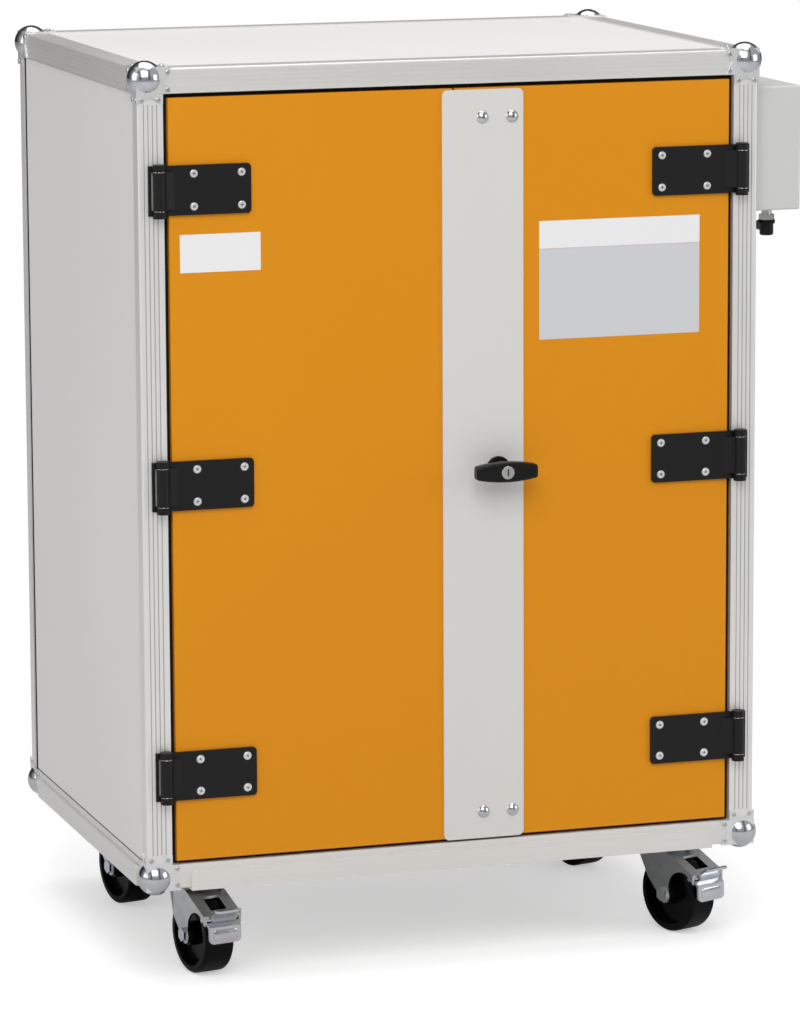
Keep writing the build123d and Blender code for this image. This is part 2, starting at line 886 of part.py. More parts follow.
def key_cylinder():
    """Lock cylinder with its key slot."""
    face_y = strip_front - handle_front - cylinder_proud
    end_y = strip_front - handle_front + cylinder_length - handle_play
    body = rod_y(cylinder_radius, face_y, end_y, lock_x, lock_z)
    body = chamfer(body.edges().group_by(Axis.Y)[0], 0.6)
    slot = span(lock_x - key_slot / 2, lock_x + key_slot / 2, face_y, face_y + key_depth,
                lock_z - key_length / 2, lock_z + key_length / 2)
    return body - slot


def involute_point(base, radius, turn, hand):
    """Point of an involute flank at a radius, turned about the gear's centre."""
    angle = math.acos(min(1.0, base / radius))
    sweep = math.tan(angle) - angle
    direction = turn + hand * sweep
    return (radius * math.cos(direction), radius * math.sin(direction))


def pinion_outline():
    """Involute pinion, its teeth thinned by half the backlash."""
    pressure = math.radians(pressure_angle)
    base = pitch_radius * math.cos(pressure)
    root = pitch_radius - dedendum
    tip = pitch_radius + addendum
    pitch_sweep = math.tan(pressure) - pressure
    half_tooth = math.pi / (2 * gear_teeth) - backlash / (4 * pitch_radius) + pitch_sweep
    points = []
    for n in range(gear_teeth):
        middle = 2 * math.pi * n / gear_teeth
        low = middle - half_tooth
        high = middle + half_tooth
        points.append((root * math.cos(low), root * math.sin(low)))
        for radius in (max(base, root + 0.01), pitch_radius, tip):
            points.append(involute_point(base, radius, low, 1))
        for radius in (tip, pitch_radius, max(base, root + 0.01)):
            points.append(involute_point(base, radius, high, -1))
        points.append((root * math.cos(high), root * math.sin(high)))
    return outline(points)


def lock_pinion():
    """Pinion on its spindle. A tooth points up at rest."""
    y0 = rod_mid_y - gear_width / 2
    plane = Plane(origin=(lock_x, y0, lock_z), x_dir=(0, 0, 1), z_dir=(0, 1, 0))
    gear = extrude(plane * pinion_outline(), amount=gear_width)
    neck_back = strip_front - rosette_thickness - collar_height - handle_play
    end_y = guide_end_y() + case_wall
    return gear + rod_y(spindle_radius, neck_back, end_y, lock_x, lock_z)


def rack_points(z_low, z_high):
    """Rack flank in the pinion's frame, from low to high, for a rack on the +X side."""
    pitch = math.pi * gear_module
    slope = math.tan(math.radians(pressure_angle))
    half_tooth = pitch / 4 - backlash / 4
    points = []
    first = math.ceil((z_low + pitch / 2) / pitch)
    last = math.floor((z_high - pitch / 2) / pitch)
    for n in range(first, last + 1):
        middle = n * pitch + (0 if gear_teeth % 4 else pitch / 2)
        if not z_low + pitch / 2 <= middle <= z_high - pitch / 2:
            continue
        points.append((pitch_radius + dedendum, middle - half_tooth - dedendum * slope))
        points.append((pitch_radius - addendum, middle - half_tooth + addendum * slope))
        points.append((pitch_radius - addendum, middle + half_tooth - addendum * slope))
        points.append((pitch_radius + dedendum, middle + half_tooth + dedendum * slope))
    return points


def toothed_rod(length):
    """Flat steel rod cut with its rack and its jog, in the pinion's frame."""
    travel = pitch_radius * math.pi / 2
    low = -travel - gear_module * 4
    high = gear_module * 4
    root = pitch_radius + dedendum
    back = pitch_radius + rod_back
    half = rod_width / 2
    points = [(back, low), (root, low)] + rack_points(low, high)
    points += [(root, rod_jog - rod_width), (-half, rod_jog), (-half, length), (half, length),
               (half, rod_jog + rod_width / 2), (back, rod_jog - rod_width / 2)]
    return outline(points)


def upper_rod():
    length = strike_top_face - rod_rest_gap - lock_z
    plane = Plane(origin=(lock_x, rod_front, lock_z), x_dir=(-1, 0, 0), z_dir=(0, 1, 0))
    return extrude(plane * toothed_rod(length), amount=rod_thickness)


def lower_rod():
    length = lock_z - strike_bottom_face - rod_rest_gap
    plane = Plane(origin=(lock_x, rod_front, lock_z), x_dir=(1, 0, 0), z_dir=(0, 1, 0))
    return extrude(plane * toothed_rod(length), amount=rod_thickness)


def lock_case():
    """Pressed cover over the pinion and racks, open at both ends for the rods."""
    outer_y = guide_end_y() + case_wall
    case = span(lock_x - case_half_width, lock_x + case_half_width, lining_back, outer_y,
                lock_z - case_half_height, lock_z + case_half_height)
    case = fillet(case.faces().sort_by(Axis.Y)[-1].edges(), 3.0)
    inner = case_half_width - case_wall
    inner_z = case_half_height - case_wall
    case -= span(lock_x - inner, lock_x + inner, lining_back, guide_end_y(),
                 lock_z - inner_z, lock_z + inner_z)
    mouth = pitch_radius + rod_back + rod_play
    for side in (BOTTOM, TOP):
        z0 = lock_z + side * inner_z
        case -= span(lock_x - mouth, lock_x + mouth, rod_front - rod_play, rod_back_y + rod_play,
                     z0, lock_z + side * case_half_height)
    case -= rod_y(spindle_radius + spindle_fit, guide_end_y() - 1.0, outer_y, lock_x, lock_z)
    return case


def strike_plate(side):
    """Plate on the lining board with a slot for a rod's end."""
    half_x = rod_width / 2 + strike_margin
    y0 = reveal_back
    y1 = rod_back_y + strike_margin
    face = cavity_top if side == TOP else cavity_bottom
    plate = span(lock_x - half_x, lock_x + half_x, y0, y1, face - side * strike_thickness, face)
    inner = rod_width / 2 + strike_play
    plate -= span(lock_x - inner, lock_x + inner, rod_front - strike_play, rod_back_y + strike_play,
                  face - side * strike_thickness, face)
    return plate


def strike_plates():
    return group([strike_plate(side) for side in (BOTTOM, TOP)])


# ---------------------------------------------------------------- shelves and electrics inside
def slot_heights():
    low = cavity_bottom + upright_margin
    high = cavity_top - upright_margin
    count = int((high - low) // slot_pitch)
    return [low + slot_pitch * (n + 0.5) for n in range(count)]


def upright(y):
    """Slotted channel on the left lining."""
    x0 = -cavity_half
    x1 = x0 + upright_depth
    half = upright_width / 2
    low = cavity_bottom + upright_margin
    high = cavity_top - upright_margin
    bar = span(x0, x1, y - half, y + half, low, high)
    bar -= span(x0, x1 - upright_wall, y - half + upright_wall, y + half - upright_wall, low, high)
    for z in slot_heights():
        bar -= span(x1 - upright_wall, x1, y - slot_width / 2, y + slot_width / 2,
                    z - slot_height / 2, z + slot_height / 2)
    return bar


def shelf_uprights():
    left = [upright(y) for y in (upright_front_y, upright_back_y)]
    return both_sides(left)


def shelf_half():
    return cavity_half - upright_depth - clip_thickness - shelf_side_play


def shelf(z):
    """Folded steel shelf: flat top, turned-down lips and ventilation slots."""
    half = shelf_half()
    t = shelf_thickness
    body = span(-half, half, shelf_front_y, shelf_back_y, z - shelf_lip, z)
    body -= span(-half + t, half - t, shelf_front_y + t, shelf_back_y - t, z - shelf_lip, z - t)
    columns = 6
    rows = 3
    step_x = 2 * half / columns
    step_y = (shelf_back_y - shelf_front_y) / rows
    for i in range(columns):
        for j in range(rows):
            x = -half + step_x * (i + 0.5)
            y = shelf_front_y + step_y * (j + 0.5)
            body -= span(x - vent_slot_length / 2, x + vent_slot_length / 2,
                         y - vent_slot_width / 2, y + vent_slot_width / 2, z - t, z)
    return body


def shelves():
    return group([shelf(z) for z in shelf_heights])


def shelf_clip(y, z):
    """Angle on an upright with a ledge under the shelf's lip."""
    x0 = -cavity_half + upright_depth
    low = z - shelf_lip - clip_thickness
    plate = span(x0, x0 + clip_thickness, y - clip_depth / 2, y + clip_depth / 2,
                 low, low + clip_height)
    ledge = span(x0, x0 + clip_depth, y - clip_depth / 2, y + clip_depth / 2,
                 low, low + clip_thickness)
    return plate + ledge


def shelf_clips():
    clips = []
    for z in shelf_heights:
        for y in (upright_front_y, upright_back_y):
            clips.append(shelf_clip(y, z))
    return both_sides(clips)


def power_strip(z):
    """Socket strip on the back lining with a row of round sockets."""
    front_y = cavity_back - socket_strip_depth
    half = socket_strip_height / 2
    body = span(-socket_strip_length / 2, socket_strip_length / 2, front_y, cavity_back,
                z - half, z + half)
    body = fillet(body.faces().sort_by(Axis.Y)[0].edges(), 4.0)
    for n in range(socket_count):
        x = (n - (socket_count - 1) / 2) * socket_pitch
        body -= rod_y(socket_radius, front_y, front_y + socket_depth, x, z)
    return body


def power_strips():
    heights = [cavity_bottom] + list(shelf_heights[:-1])
    return group([power_strip(z + socket_strip_above) for z in heights])


def smoke_sensor():
    """Ceiling sensor: base, waist and sensing head."""
    radii = (sensor_radius, sensor_shoulder, sensor_waist, sensor_waist, sensor_flare, sensor_tip, 0)
    points = [(0, 0), (sensor_radius, 0)]
    points += [(radius, -depth) for radius, depth in zip(radii, sensor_depths)]
    body = revolve(Plane.XZ * outline(points), axis=Axis.Z)
    return Pos(0, sensor_y, cavity_top) * body


# ---------------------------------------------------------------- electrics box
def lid_face():
    return half_w + box_reach


def electrics_box_base():
    """Box body on the right-hand wall, open towards its lid."""
    x1 = lid_face() - box_lid
    body = span(side_face, x1, box_front_y, box_front_y + box_length,
                box_bottom_z, box_bottom_z + box_height)
    body = fillet(body.edges().filter_by(Axis.X), box_radius)
    w = box_wall
    body -= span(side_face + w, x1, box_front_y + w, box_front_y + box_length - w,
                 box_bottom_z + w, box_bottom_z + box_height - w)
    body -= rod_z(stud_radius, box_bottom_z, box_bottom_z + w, connector_x, connector_y)
    return body


def electrics_box_lid():
    x0 = lid_face() - box_lid
    lid = span(x0, lid_face(), box_front_y, box_front_y + box_length,
               box_bottom_z, box_bottom_z + box_height)
    lid = fillet(lid.edges().filter_by(Axis.X), box_radius)
    return fillet(lid.faces().sort_by(Axis.X)[-1].edges(), 2.0)


def box_lid_screws():
    screws = []
    x0 = lid_face()
    for y in (box_front_y + lid_screw_inset, box_front_y + box_length - lid_screw_inset):
        for z in (box_bottom_z + lid_screw_inset, box_bottom_z + box_height - lid_screw_inset):
            screws.append(rod_x(lid_screw_radius, x0, x0 + lid_screw_height, y, z))
    return group(screws)


def connector_fittings():
    """Nickel stud through the box's underside and the hex nut on it."""
    low = box_bottom_z - stud_length
    stud = rod_z(stud_radius, low, box_bottom_z + stud_inside, connector_x, connector_y)
    plane = Plane(origin=(connector_x, connector_y, low - nut_height))
    nut = extrude(plane * RegularPolygon(nut_flats / 2, 6, major_radius=False), amount=nut_height)
    return group([stud, nut])


def connector_plug():
    """Black angled plug: collar nut, body and side outlet."""
    top = box_bottom_z - stud_length - nut_height
    r = collar_nut_radius
    points = [(0, 0), (r, 0), (r, -collar_nut_height + 1.0), (r - 1.0, -collar_nut_height),
              (plug_radius, -collar_nut_height), (plug_radius, -plug_length + 1.5),
              (plug_radius - 1.5, -plug_length), (0, -plug_length)]
    body = Pos(connector_x, connector_y, top) * revolve(Plane.XZ * outline(points), axis=Axis.Z)
    z = top - plug_length + outlet_z
    return body + rod_y(outlet_radius, connector_y, connector_y + outlet_reach, connector_x, z)


# ---------------------------------------------------------------- castors, swivel axis on Z
def castor_plate():
    """Top plate with the pressed ring of the swivel race below it."""
    top = castor_height
    plate = extrude(RectangleRounded(plate_x, plate_y, plate_corner), amount=plate_thickness)
    plate = Pos(0, 0, top - plate_thickness) * plate
    for x in (-plate_hole_x / 2, plate_hole_x / 2):
        for y in (-plate_hole_y / 2, plate_hole_y / 2):
            plate -= rod_z(plate_hole_radius, top - plate_thickness, top, x, y)
    low = top - plate_thickness - race_height
    ring = rod_z(race_outer, low, top - plate_thickness, 0, 0)
    ring -= rod_z(race_inner, low, top - plate_thickness, 0, 0)
    plate += ring
    return plate - rod_z(kingpin_radius, low, top, 0, 0)


def castor_bolt_set():
    """Hexagon bolts that hold one castor plate."""
    low = castor_height - plate_thickness
    radius = plate_hole_radius - plate_bolt_play
    bolts = []
    for x in (-plate_hole_x / 2, plate_hole_x / 2):
        for y in (-plate_hole_y / 2, plate_hole_y / 2):
            head = extrude(RegularPolygon(plate_bolt_flats / 2, 6, major_radius=False), amount=plate_bolt_head)
            bolts.append(Pos(x, y, low - plate_bolt_head) * head + rod_z(radius, low, castor_height, x, y))
    return group(bolts)


def fork_race_top():
    return castor_height - plate_thickness - race_height


def kingpin():
    """Rivet that holds the fork under the plate."""
    under = fork_top - fork_sheet
    pin = rod_z(kingpin_radius, under, castor_height, 0, 0)
    return pin + rod_z(kingpin_head, under - kingpin_head_height, under, 0, 0)


def fork_plan(shrink):
    """Plan of the fork's sheet: parallel sides that close towards the rear."""
    half = fork_inner / 2 + fork_sheet - shrink
    rear = fork_rear_half - shrink * 0.8
    far = hood_y - fork_overrun
    back = fork_rear_y - shrink
    points = [(-half, far), (half, far), (half, fork_bend_y), (rear, back),
              (-rear, back), (-half, fork_bend_y)]
    return outline(points)


def fork_room():
    """Side view of the room inside the fork, under its sheet."""
    top = fork_top - fork_sheet
    slope = (fork_top - hood_z) / (hood_start - hood_y)
    far = hood_y - fork_overrun
    rear = fork_rear_y + fork_overrun
    points = [(rear, 0), (rear, top), (hood_start, top),
              (far, top - slope * (hood_start - far)), (far, 0)]
    return outline(points)


def fork_side():
    """Side view of the fork: head, hood and the leg that tapers to the axle."""
    tip = leg_tip
    axle_z = wheel_radius
    rear_tip = (-trail + tip * 0.75, axle_z - tip * 0.2)
    arch = ThreePointArc((-trail - tip, axle_z), (-trail - tip - 4.0, axle_z + 26.0),
                         (hood_y, hood_z - hood_cheek))
    lines = Polyline((hood_y, hood_z - hood_cheek), (hood_y, hood_z), (hood_start, fork_top),
                     (fork_rear_y, fork_top), (fork_rear_y, fork_top - 8.0), rear_tip)
    under = ThreePointArc(rear_tip, (-trail - tip * 0.1, axle_z - tip), (-trail - tip, axle_z))
    return make_face([arch, lines, under])


def castor_fork():
    """Pressed fork: closed head, two legs and a hood over the wheel."""
    reach = fork_inner + 2 * fork_sheet + 20
    side_plane = Plane(origin=(-reach / 2, 0, 0), x_dir=(0, 1, 0), z_dir=(1, 0, 0))
    solid = extrude(side_plane * fork_side(), amount=reach)
    solid &= extrude(fork_plan(0), amount=castor_height)
    room = extrude(side_plane * fork_room(), amount=reach)
    room &= extrude(fork_plan(fork_sheet), amount=castor_height)
    fork = solid - room
    window = hood_window_x / 2
    window_start = hood_y + hood_window_inset
    fork -= span(-window, window, window_start, window_start + hood_window_y,
                 hood_z - hood_cheek, fork_top - 1.0)
    fork += rod_z(race_outer, fork_top, fork_race_top(), 0, 0)
    fork -= rod_z(kingpin_radius + kingpin_fit, fork_top - 20, castor_height, 0, 0)
    fork -= rod_x(axle_radius + axle_fit, -reach, reach, -trail, wheel_radius)
    fork -= rod_x(pedal_pivot_radius + axle_fit, -reach, reach, pedal_pivot_y, pedal_pivot_z)
    return fork


def castor_wheel():
    """Moulded wheel: round-shouldered tread, recessed web and hub."""
    half = wheel_width / 2
    web = wheel_web / 2
    hub = hub_width / 2
    bore = axle_radius + axle_fit
    r = wheel_round
    line = Polyline((bore, -hub), (hub_radius, -hub), (hub_radius + 1.5, -web), (rim_inner, -web),
                    (rim_inner + 2.5, -half), (wheel_radius - r, -half))
    low = RadiusArc((wheel_radius - r, -half), (wheel_radius, -half + r), -r)
    tread = Line((wheel_radius, -half + r), (wheel_radius, half - r))
    high = RadiusArc((wheel_radius, half - r), (wheel_radius - r, half), -r)
    back = Polyline((wheel_radius - r, half), (rim_inner + 2.5, half), (rim_inner, web),
                    (hub_radius + 1.5, web), (hub_radius, hub), (bore, hub), (bore, -hub))
    wheel = revolve(Plane.XZ * make_face([line, low, tread, high, back]), axis=Axis.Z)
    return Pos(0, -trail, wheel_radius) * Rot(0, 90, 0) * wheel


def castor_axle():
    """Axle bolt with a hex head on one side and a nut on the other."""
    leg = fork_inner / 2 + fork_sheet
    axle = rod_x(axle_radius, -leg, leg, -trail, wheel_radius)
    for side in (-1, 1):
        plane = Plane(origin=(side * leg, -trail, wheel_radius), x_dir=(0, 0, 1), z_dir=(side, 0, 0))
        axle += extrude(plane * RegularPolygon(axle_head, 6), amount=axle_head_height)
    return axle


def pedal_section(width_x, points):
    """Bent pedal plate from its side view."""
    plane = Plane(origin=(-width_x / 2, 0, 0), x_dir=(0, 1, 0), z_dir=(1, 0, 0))
    return extrude(plane * outline(points), amount=width_x)


def brake_pedal():
    """Total-lock pedal: a step below, a release lip above, on one pivot."""
    y = pedal_pivot_y
    z = pedal_pivot_z
    t = pedal_sheet
    inner = fork_inner / 2 - pedal_side_play
    barrel = rod_x(pedal_barrel, -inner, inner, y, z)
    outer = fork_inner / 2 + fork_sheet
    barrel += rod_x(pedal_pivot_radius, -outer, outer, y, z)
    step = [(y, z + 1), (y - 9, z - 3), (y - 14, z - 8), (y - 15, z - 29),
            (y - 15 + t, z - 29), (y - 14 + t, z - 10), (y - 7, z - 6.5), (y, z - 3)]
    lip_up = [(y, z + 1.5), (y - 8, z + 1.5), (y - 12, z + 9), (y - 20, z + 15), (y - 29, z + 16),
              (y - 29, z + 16 - t), (y - 21, z + 12), (y - 15, z + 7), (y - 10, z - 2), (y, z - 2)]
    pedal = barrel + pedal_section(pedal_width, step)
    pedal += pedal_section(lip_width, lip_up)
    return pedal


def place_castor(shape, name):
    """Turn a castor's piece to its swivel angle and put it at its corner."""
    x = -castor_x if "left" in name else castor_x
    y = -castor_y if "front" in name else castor_y
    return Pos(x, y, 0) * Rot(0, 0, castor_turn[name]) * shape


def castor_mounts(shape):
    """A piece fixed to the cabinet at all four castor places."""
    places = [(x, y) for x in (-castor_x, castor_x) for y in (-castor_y, castor_y)]
    return group([Pos(x, y, 0) * shape for x, y in places])


# ---------------------------------------------------------------- assembly
def all_nodes():
    hinge_parts = [frame_leaf(z) for z in hinge_heights]
    pins = [hinge_pin(z) for z in hinge_heights]
    nodes = {
        "corner_posts": corner_posts(),
        "frame_rails": frame_rails(),
        "ball_corners": ball_corners(),
        "side_panels": side_panels(),
        "back_panel": back_panel(),
        "top_panel": top_panel(),
        "floor_panel": floor_panel(),
        "lining_boards": lining_boards(),
        "base_tray": base_tray(),
        "frame_seal": frame_seal(),
        "hinge_frame_leaves": both_sides(hinge_parts),
        "hinge_pins": both_sides(pins),
        "shelf_uprights": shelf_uprights(),
        "shelves": shelves(),
        "shelf_clips": shelf_clips(),
        "power_strips": power_strips(),
        "smoke_sensor": smoke_sensor(),
        "electrics_box_base": electrics_box_base(),
        "electrics_box_lid": electrics_box_lid(),
        "box_lid_screws": box_lid_screws(),
        "connector_fittings": connector_fittings(),
        "connector_plug": connector_plug(),
        "strike_plates": strike_plates(),
        "right_door_panel": right_door_panel(),
        "right_door_lining": right_door_lining(),
        "right_hinge_leaves": right_hinge_leaves(),
        "right_hinge_screws": right_hinge_screws(),
        "cover_strip": cover_strip(),
        "strip_bolts": strip_bolts(),
        "strip_screws": strip_screws(),
        "handle_rosette": handle_rosette(),
        "lock_case": lock_case(),
        "rod_guides": rod_guides(),
        "t_handle": t_handle(),
        "lock_pinion": lock_pinion(),
        "key_cylinder": key_cylinder(),
        "upper_rod": upper_rod(),
        "lower_rod": lower_rod(),
        "left_door_panel": left_door_panel(),
        "left_door_lining": left_door_lining(),
        "left_hinge_leaves": flip_x(right_hinge_leaves()),
        "left_hinge_screws": flip_x(right_hinge_screws()),
        "castor_plates": castor_mounts(castor_plate()),
        "castor_kingpins": castor_mounts(kingpin()),
        "castor_bolts": castor_mounts(castor_bolt_set()),
    }
    fork = castor_fork()
    wheel = castor_wheel()
    axle = castor_axle()
    pedal = brake_pedal()
    for name in castor_turn:
        nodes["castor_fork_" + name] = place_castor(fork, name)
        nodes["castor_wheel_" + name] = place_castor(wheel, name)
        nodes["castor_axle_" + name] = place_castor(axle, name)
        if "front" in name:
            nodes["brake_pedal_" + name] = place_castor(pedal, name)
    return nodes


def centring():
    """Move that puts the origin under the middle of the outer box, from the named reaches."""
    ball_reach = ball_radius - ball_inset
    left = half_w + ball_reach
    right = lid_face() + lid_screw_height
    back = half_d + ball_reach
    forward = half_d + strip_thickness + handle_front + cylinder_proud
    return Pos((left - right) / 2, (forward - back) / 2, 0)


os.makedirs("parts", exist_ok=True)
shift = centring()
for node_name, node_shape in all_nodes().items():
    export_step(shift * node_shape, "parts/" + node_name + ".step")
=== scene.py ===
import bmesh
import bpy
import math
from mathutils import Matrix, Vector


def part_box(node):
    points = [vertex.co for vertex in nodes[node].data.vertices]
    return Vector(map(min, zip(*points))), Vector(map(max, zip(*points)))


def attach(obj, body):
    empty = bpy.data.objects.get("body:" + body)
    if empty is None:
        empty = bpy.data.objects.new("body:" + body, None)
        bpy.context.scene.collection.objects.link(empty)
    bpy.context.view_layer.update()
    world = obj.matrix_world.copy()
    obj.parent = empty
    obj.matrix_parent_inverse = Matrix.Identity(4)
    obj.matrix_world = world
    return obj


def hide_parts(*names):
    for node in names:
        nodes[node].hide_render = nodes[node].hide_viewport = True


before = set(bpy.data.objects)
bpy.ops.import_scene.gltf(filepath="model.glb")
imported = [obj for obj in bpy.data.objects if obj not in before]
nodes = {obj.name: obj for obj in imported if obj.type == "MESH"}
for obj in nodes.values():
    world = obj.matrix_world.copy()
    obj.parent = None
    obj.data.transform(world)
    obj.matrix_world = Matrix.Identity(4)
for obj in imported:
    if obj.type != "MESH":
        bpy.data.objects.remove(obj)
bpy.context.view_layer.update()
mm = 0.001

sideLow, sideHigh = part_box("side_panels")
middle = (sideLow + sideHigh) / 2  # the cabinet's own centre line
shell = {"halfWidth": 400.0, "halfDepth": 300.0, "low": 128.0, "high": 1142.0, "sharp": 38.0}
print("frame loaded:", len(nodes), "nodes")


# Helpers for meshes
def place(x, y, z):  # millimetres round the cabinet's centre line
    return Vector((middle.x + x * mm, middle.y + y * mm, z * mm))


def facing(point, normal):  # a shape that stands on z = 0, put on a face
    turn = Vector(normal).to_track_quat("Z", "Y").to_matrix().to_4x4()
    return Matrix.Translation(point) @ turn


def meshOf(bm):
    mesh = bpy.data.meshes.new("shape")
    bm.to_mesh(mesh)
    bm.free()
    return mesh


def stamp(shape, matrices):  # one shape repeated at many places
    bm = bmesh.new()
    for matrix in matrices:
        known = set(bm.verts)
        bm.from_mesh(shape)
        fresh = [v for v in bm.verts if v not in known]
        bmesh.ops.transform(bm, matrix=matrix, verts=fresh)
    return bm


def addPiece(name, bm, body, material, smooth=True):
    mesh = bpy.data.meshes.new(name)
    bmesh.ops.recalc_face_normals(bm, faces=bm.faces)
    for face in bm.faces:
        face.smooth = smooth
    for edge in bm.edges:
        sharp = len(edge.link_faces) == 2 and edge.calc_face_angle(0) > math.radians(shell["sharp"])
        edge.smooth = not sharp
    bm.to_mesh(mesh)
    bm.free()
    piece = bpy.data.objects.new(name, mesh)
    bpy.context.scene.collection.objects.link(piece)
    mesh.materials.append(material)
    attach(piece, body)
    return piece


def easeEdges(bm, edges, offset, segments):
    bmesh.ops.bevel(bm, geom=edges, offset=offset * mm, segments=segments, profile=0.5,
                    affect="EDGES", material=-1)


def addBlock(bm, spot, width, depth, height):  # a block of this size in millimetres, put at a matrix
    size = Matrix.Diagonal((width * mm, depth * mm, height * mm, 1))
    bmesh.ops.create_cube(bm, size=1, matrix=spot @ size)


def topEdges(bm, height):
    return [e for e in bm.edges if all(v.co.z > height * mm * 0.9 for v in e.verts)]


def roundHead(radius, height, crown, segments=20):  # domed head on z = 0
    bm = bmesh.new()
    bmesh.ops.create_cone(bm, cap_ends=True, segments=segments, radius1=radius * mm, radius2=radius * mm,
                          depth=height * mm, matrix=Matrix.Translation((0, 0, height * mm / 2)))
    easeEdges(bm, topEdges(bm, height), crown, 4)
    return bm


def roundedPlate(width, height, depth, corner, rim):  # plate on z = 0, its corners and front rim eased
    bm = bmesh.new()
    addBlock(bm, Matrix.Translation((0, 0, depth * mm / 2)), width, height, depth)
    upright = [e for e in bm.edges if abs(e.verts[0].co.z - e.verts[1].co.z) > depth * mm * 0.5]
    easeEdges(bm, upright, corner, 6)
    easeEdges(bm, topEdges(bm, depth), rim, 2)
    return bm


# Shared shader effects
grainLook = {"fineDetail": 3, "cloudScale": 2.4, "cloudDetail": 4}
scuffLook = {"detail": 6, "roughness": 0.7, "from": 0.62, "gain": 8.0, "scale": 55.0, "rougher": 0.5}
paintLook = {"cloudRough": 0.12, "bumpDistance": 0.0004, "metalGloss": 0.5, "plainGloss": 0.28}


def newGroup(name, inputs, outputs):
    group = bpy.data.node_groups.new(name, "ShaderNodeTree")
    for label, kind, value in inputs:
        socket = group.interface.new_socket(label, in_out="INPUT", socket_type=kind)
        socket.default_value = value
    for label, kind in outputs:
        group.interface.new_socket(label, in_out="OUTPUT", socket_type=kind)
    return group, group.nodes.new("NodeGroupInput"), group.nodes.new("NodeGroupOutput")


def mathNode(tree, kind, first, second):
    node = tree.nodes.new("ShaderNodeMath")
    node.operation = kind
    for index, value in enumerate((first, second)):
        if isinstance(value, bpy.types.NodeSocket):
            tree.links.new(value, node.inputs[index])
        else:
            node.inputs[index].default_value = value
    return node.outputs[0]


def makeGrain():  # fine stretched grain: brushed metal, or laminate when nearly round
    takes = [("Stretch", "NodeSocketVector", (1, 1, 1)), ("Scale", "NodeSocketFloat", 400.0)]
    gives = [("Value", "NodeSocketFloat"), ("Cloud", "NodeSocketFloat")]
    tree, start, end = newGroup("surfaceGrain", takes, gives)
    coords = tree.nodes.new("ShaderNodeTexCoord")
    stretch = tree.nodes.new("ShaderNodeVectorMath")
    stretch.operation = "MULTIPLY"
    tree.links.new(coords.outputs["Object"], stretch.inputs[0])
    tree.links.new(start.outputs["Stretch"], stretch.inputs[1])
    fine = tree.nodes.new("ShaderNodeTexNoise")
    fine.inputs["Detail"].default_value = grainLook["fineDetail"]
    tree.links.new(stretch.outputs[0], fine.inputs["Vector"])
    tree.links.new(start.outputs["Scale"], fine.inputs["Scale"])
    cloud = tree.nodes.new("ShaderNodeTexNoise")
    cloud.inputs["Scale"].default_value = grainLook["cloudScale"]
    cloud.inputs["Detail"].default_value = grainLook["cloudDetail"]
    tree.links.new(coords.outputs["Object"], cloud.inputs["Vector"])
    tree.links.new(fine.outputs[0], end.inputs["Value"])
    tree.links.new(cloud.outputs[0], end.inputs["Cloud"])
    return tree


def makeScuffs():  # sparse short marks
    takes = [("Scale", "NodeSocketFloat", 60.0), ("Amount", "NodeSocketFloat", 0.3)]
    tree, start, end = newGroup("scuffs", takes, [("Mask", "NodeSocketFloat")])
    coords = tree.nodes.new("ShaderNodeTexCoord")
    spots = tree.nodes.new("ShaderNodeTexNoise")
    spots.inputs["Detail"].default_value = scuffLook["detail"]
    spots.inputs["Roughness"].default_value = scuffLook["roughness"]
    tree.links.new(coords.outputs["Object"], spots.inputs["Vector"])
    tree.links.new(start.outputs["Scale"], spots.inputs["Scale"])
    over = mathNode(tree, "SUBTRACT", spots.outputs[0], scuffLook["from"])
    clamped = mathNode(tree, "MAXIMUM", over, 0.0)
    scaled = mathNode(tree, "MULTIPLY", clamped, scuffLook["gain"])
    mask = mathNode(tree, "MULTIPLY", scaled, start.outputs["Amount"])
    tree.links.new(mask, end.inputs["Mask"])
    return tree


grainGroup = makeGrain()
scuffGroup = makeScuffs()


def linear(color):  # 0..255 display colour to shader colour
    parts = [c / 255 for c in color]
    return [p / 12.92 if p <= 0.04045 else ((p + 0.055) / 1.055) ** 2.4 for p in parts] + [1]


def addGroup(tree, group, values):
    node = tree.nodes.new("ShaderNodeGroup")
    node.node_tree = group
    for label, value in values.items():
        node.inputs[label].default_value = value
    return node


def ramp(tree, fac, low, high, first=0.3, last=0.7):
    node = tree.nodes.new("ShaderNodeValToRGB")
    node.color_ramp.elements[0].position = first
    node.color_ramp.elements[1].position = last
    node.color_ramp.elements[0].color = low
    node.color_ramp.elements[1].color = high
    tree.links.new(fac, node.inputs[0])
    return node.outputs[0]


def smoothStep(tree, fac, first, last):
    node = tree.nodes.new("ShaderNodeMapRange")
    node.interpolation_type = "SMOOTHSTEP"
    node.inputs["From Min"].default_value = first
    node.inputs["From Max"].default_value = last
    tree.links.new(fac, node.inputs["Value"])
    return node.outputs["Result"]


def blendColours(tree, fac, first, second):
    node = tree.nodes.new("ShaderNodeMix")
    node.data_type = "RGBA"
    tree.links.new(fac, node.inputs["Factor"])
    for label, value in (("A", first), ("B", second)):
        if isinstance(value, bpy.types.NodeSocket):
            tree.links.new(value, node.inputs[label])
        else:
            node.inputs[label].default_value = value
    return node.outputs["Result"]


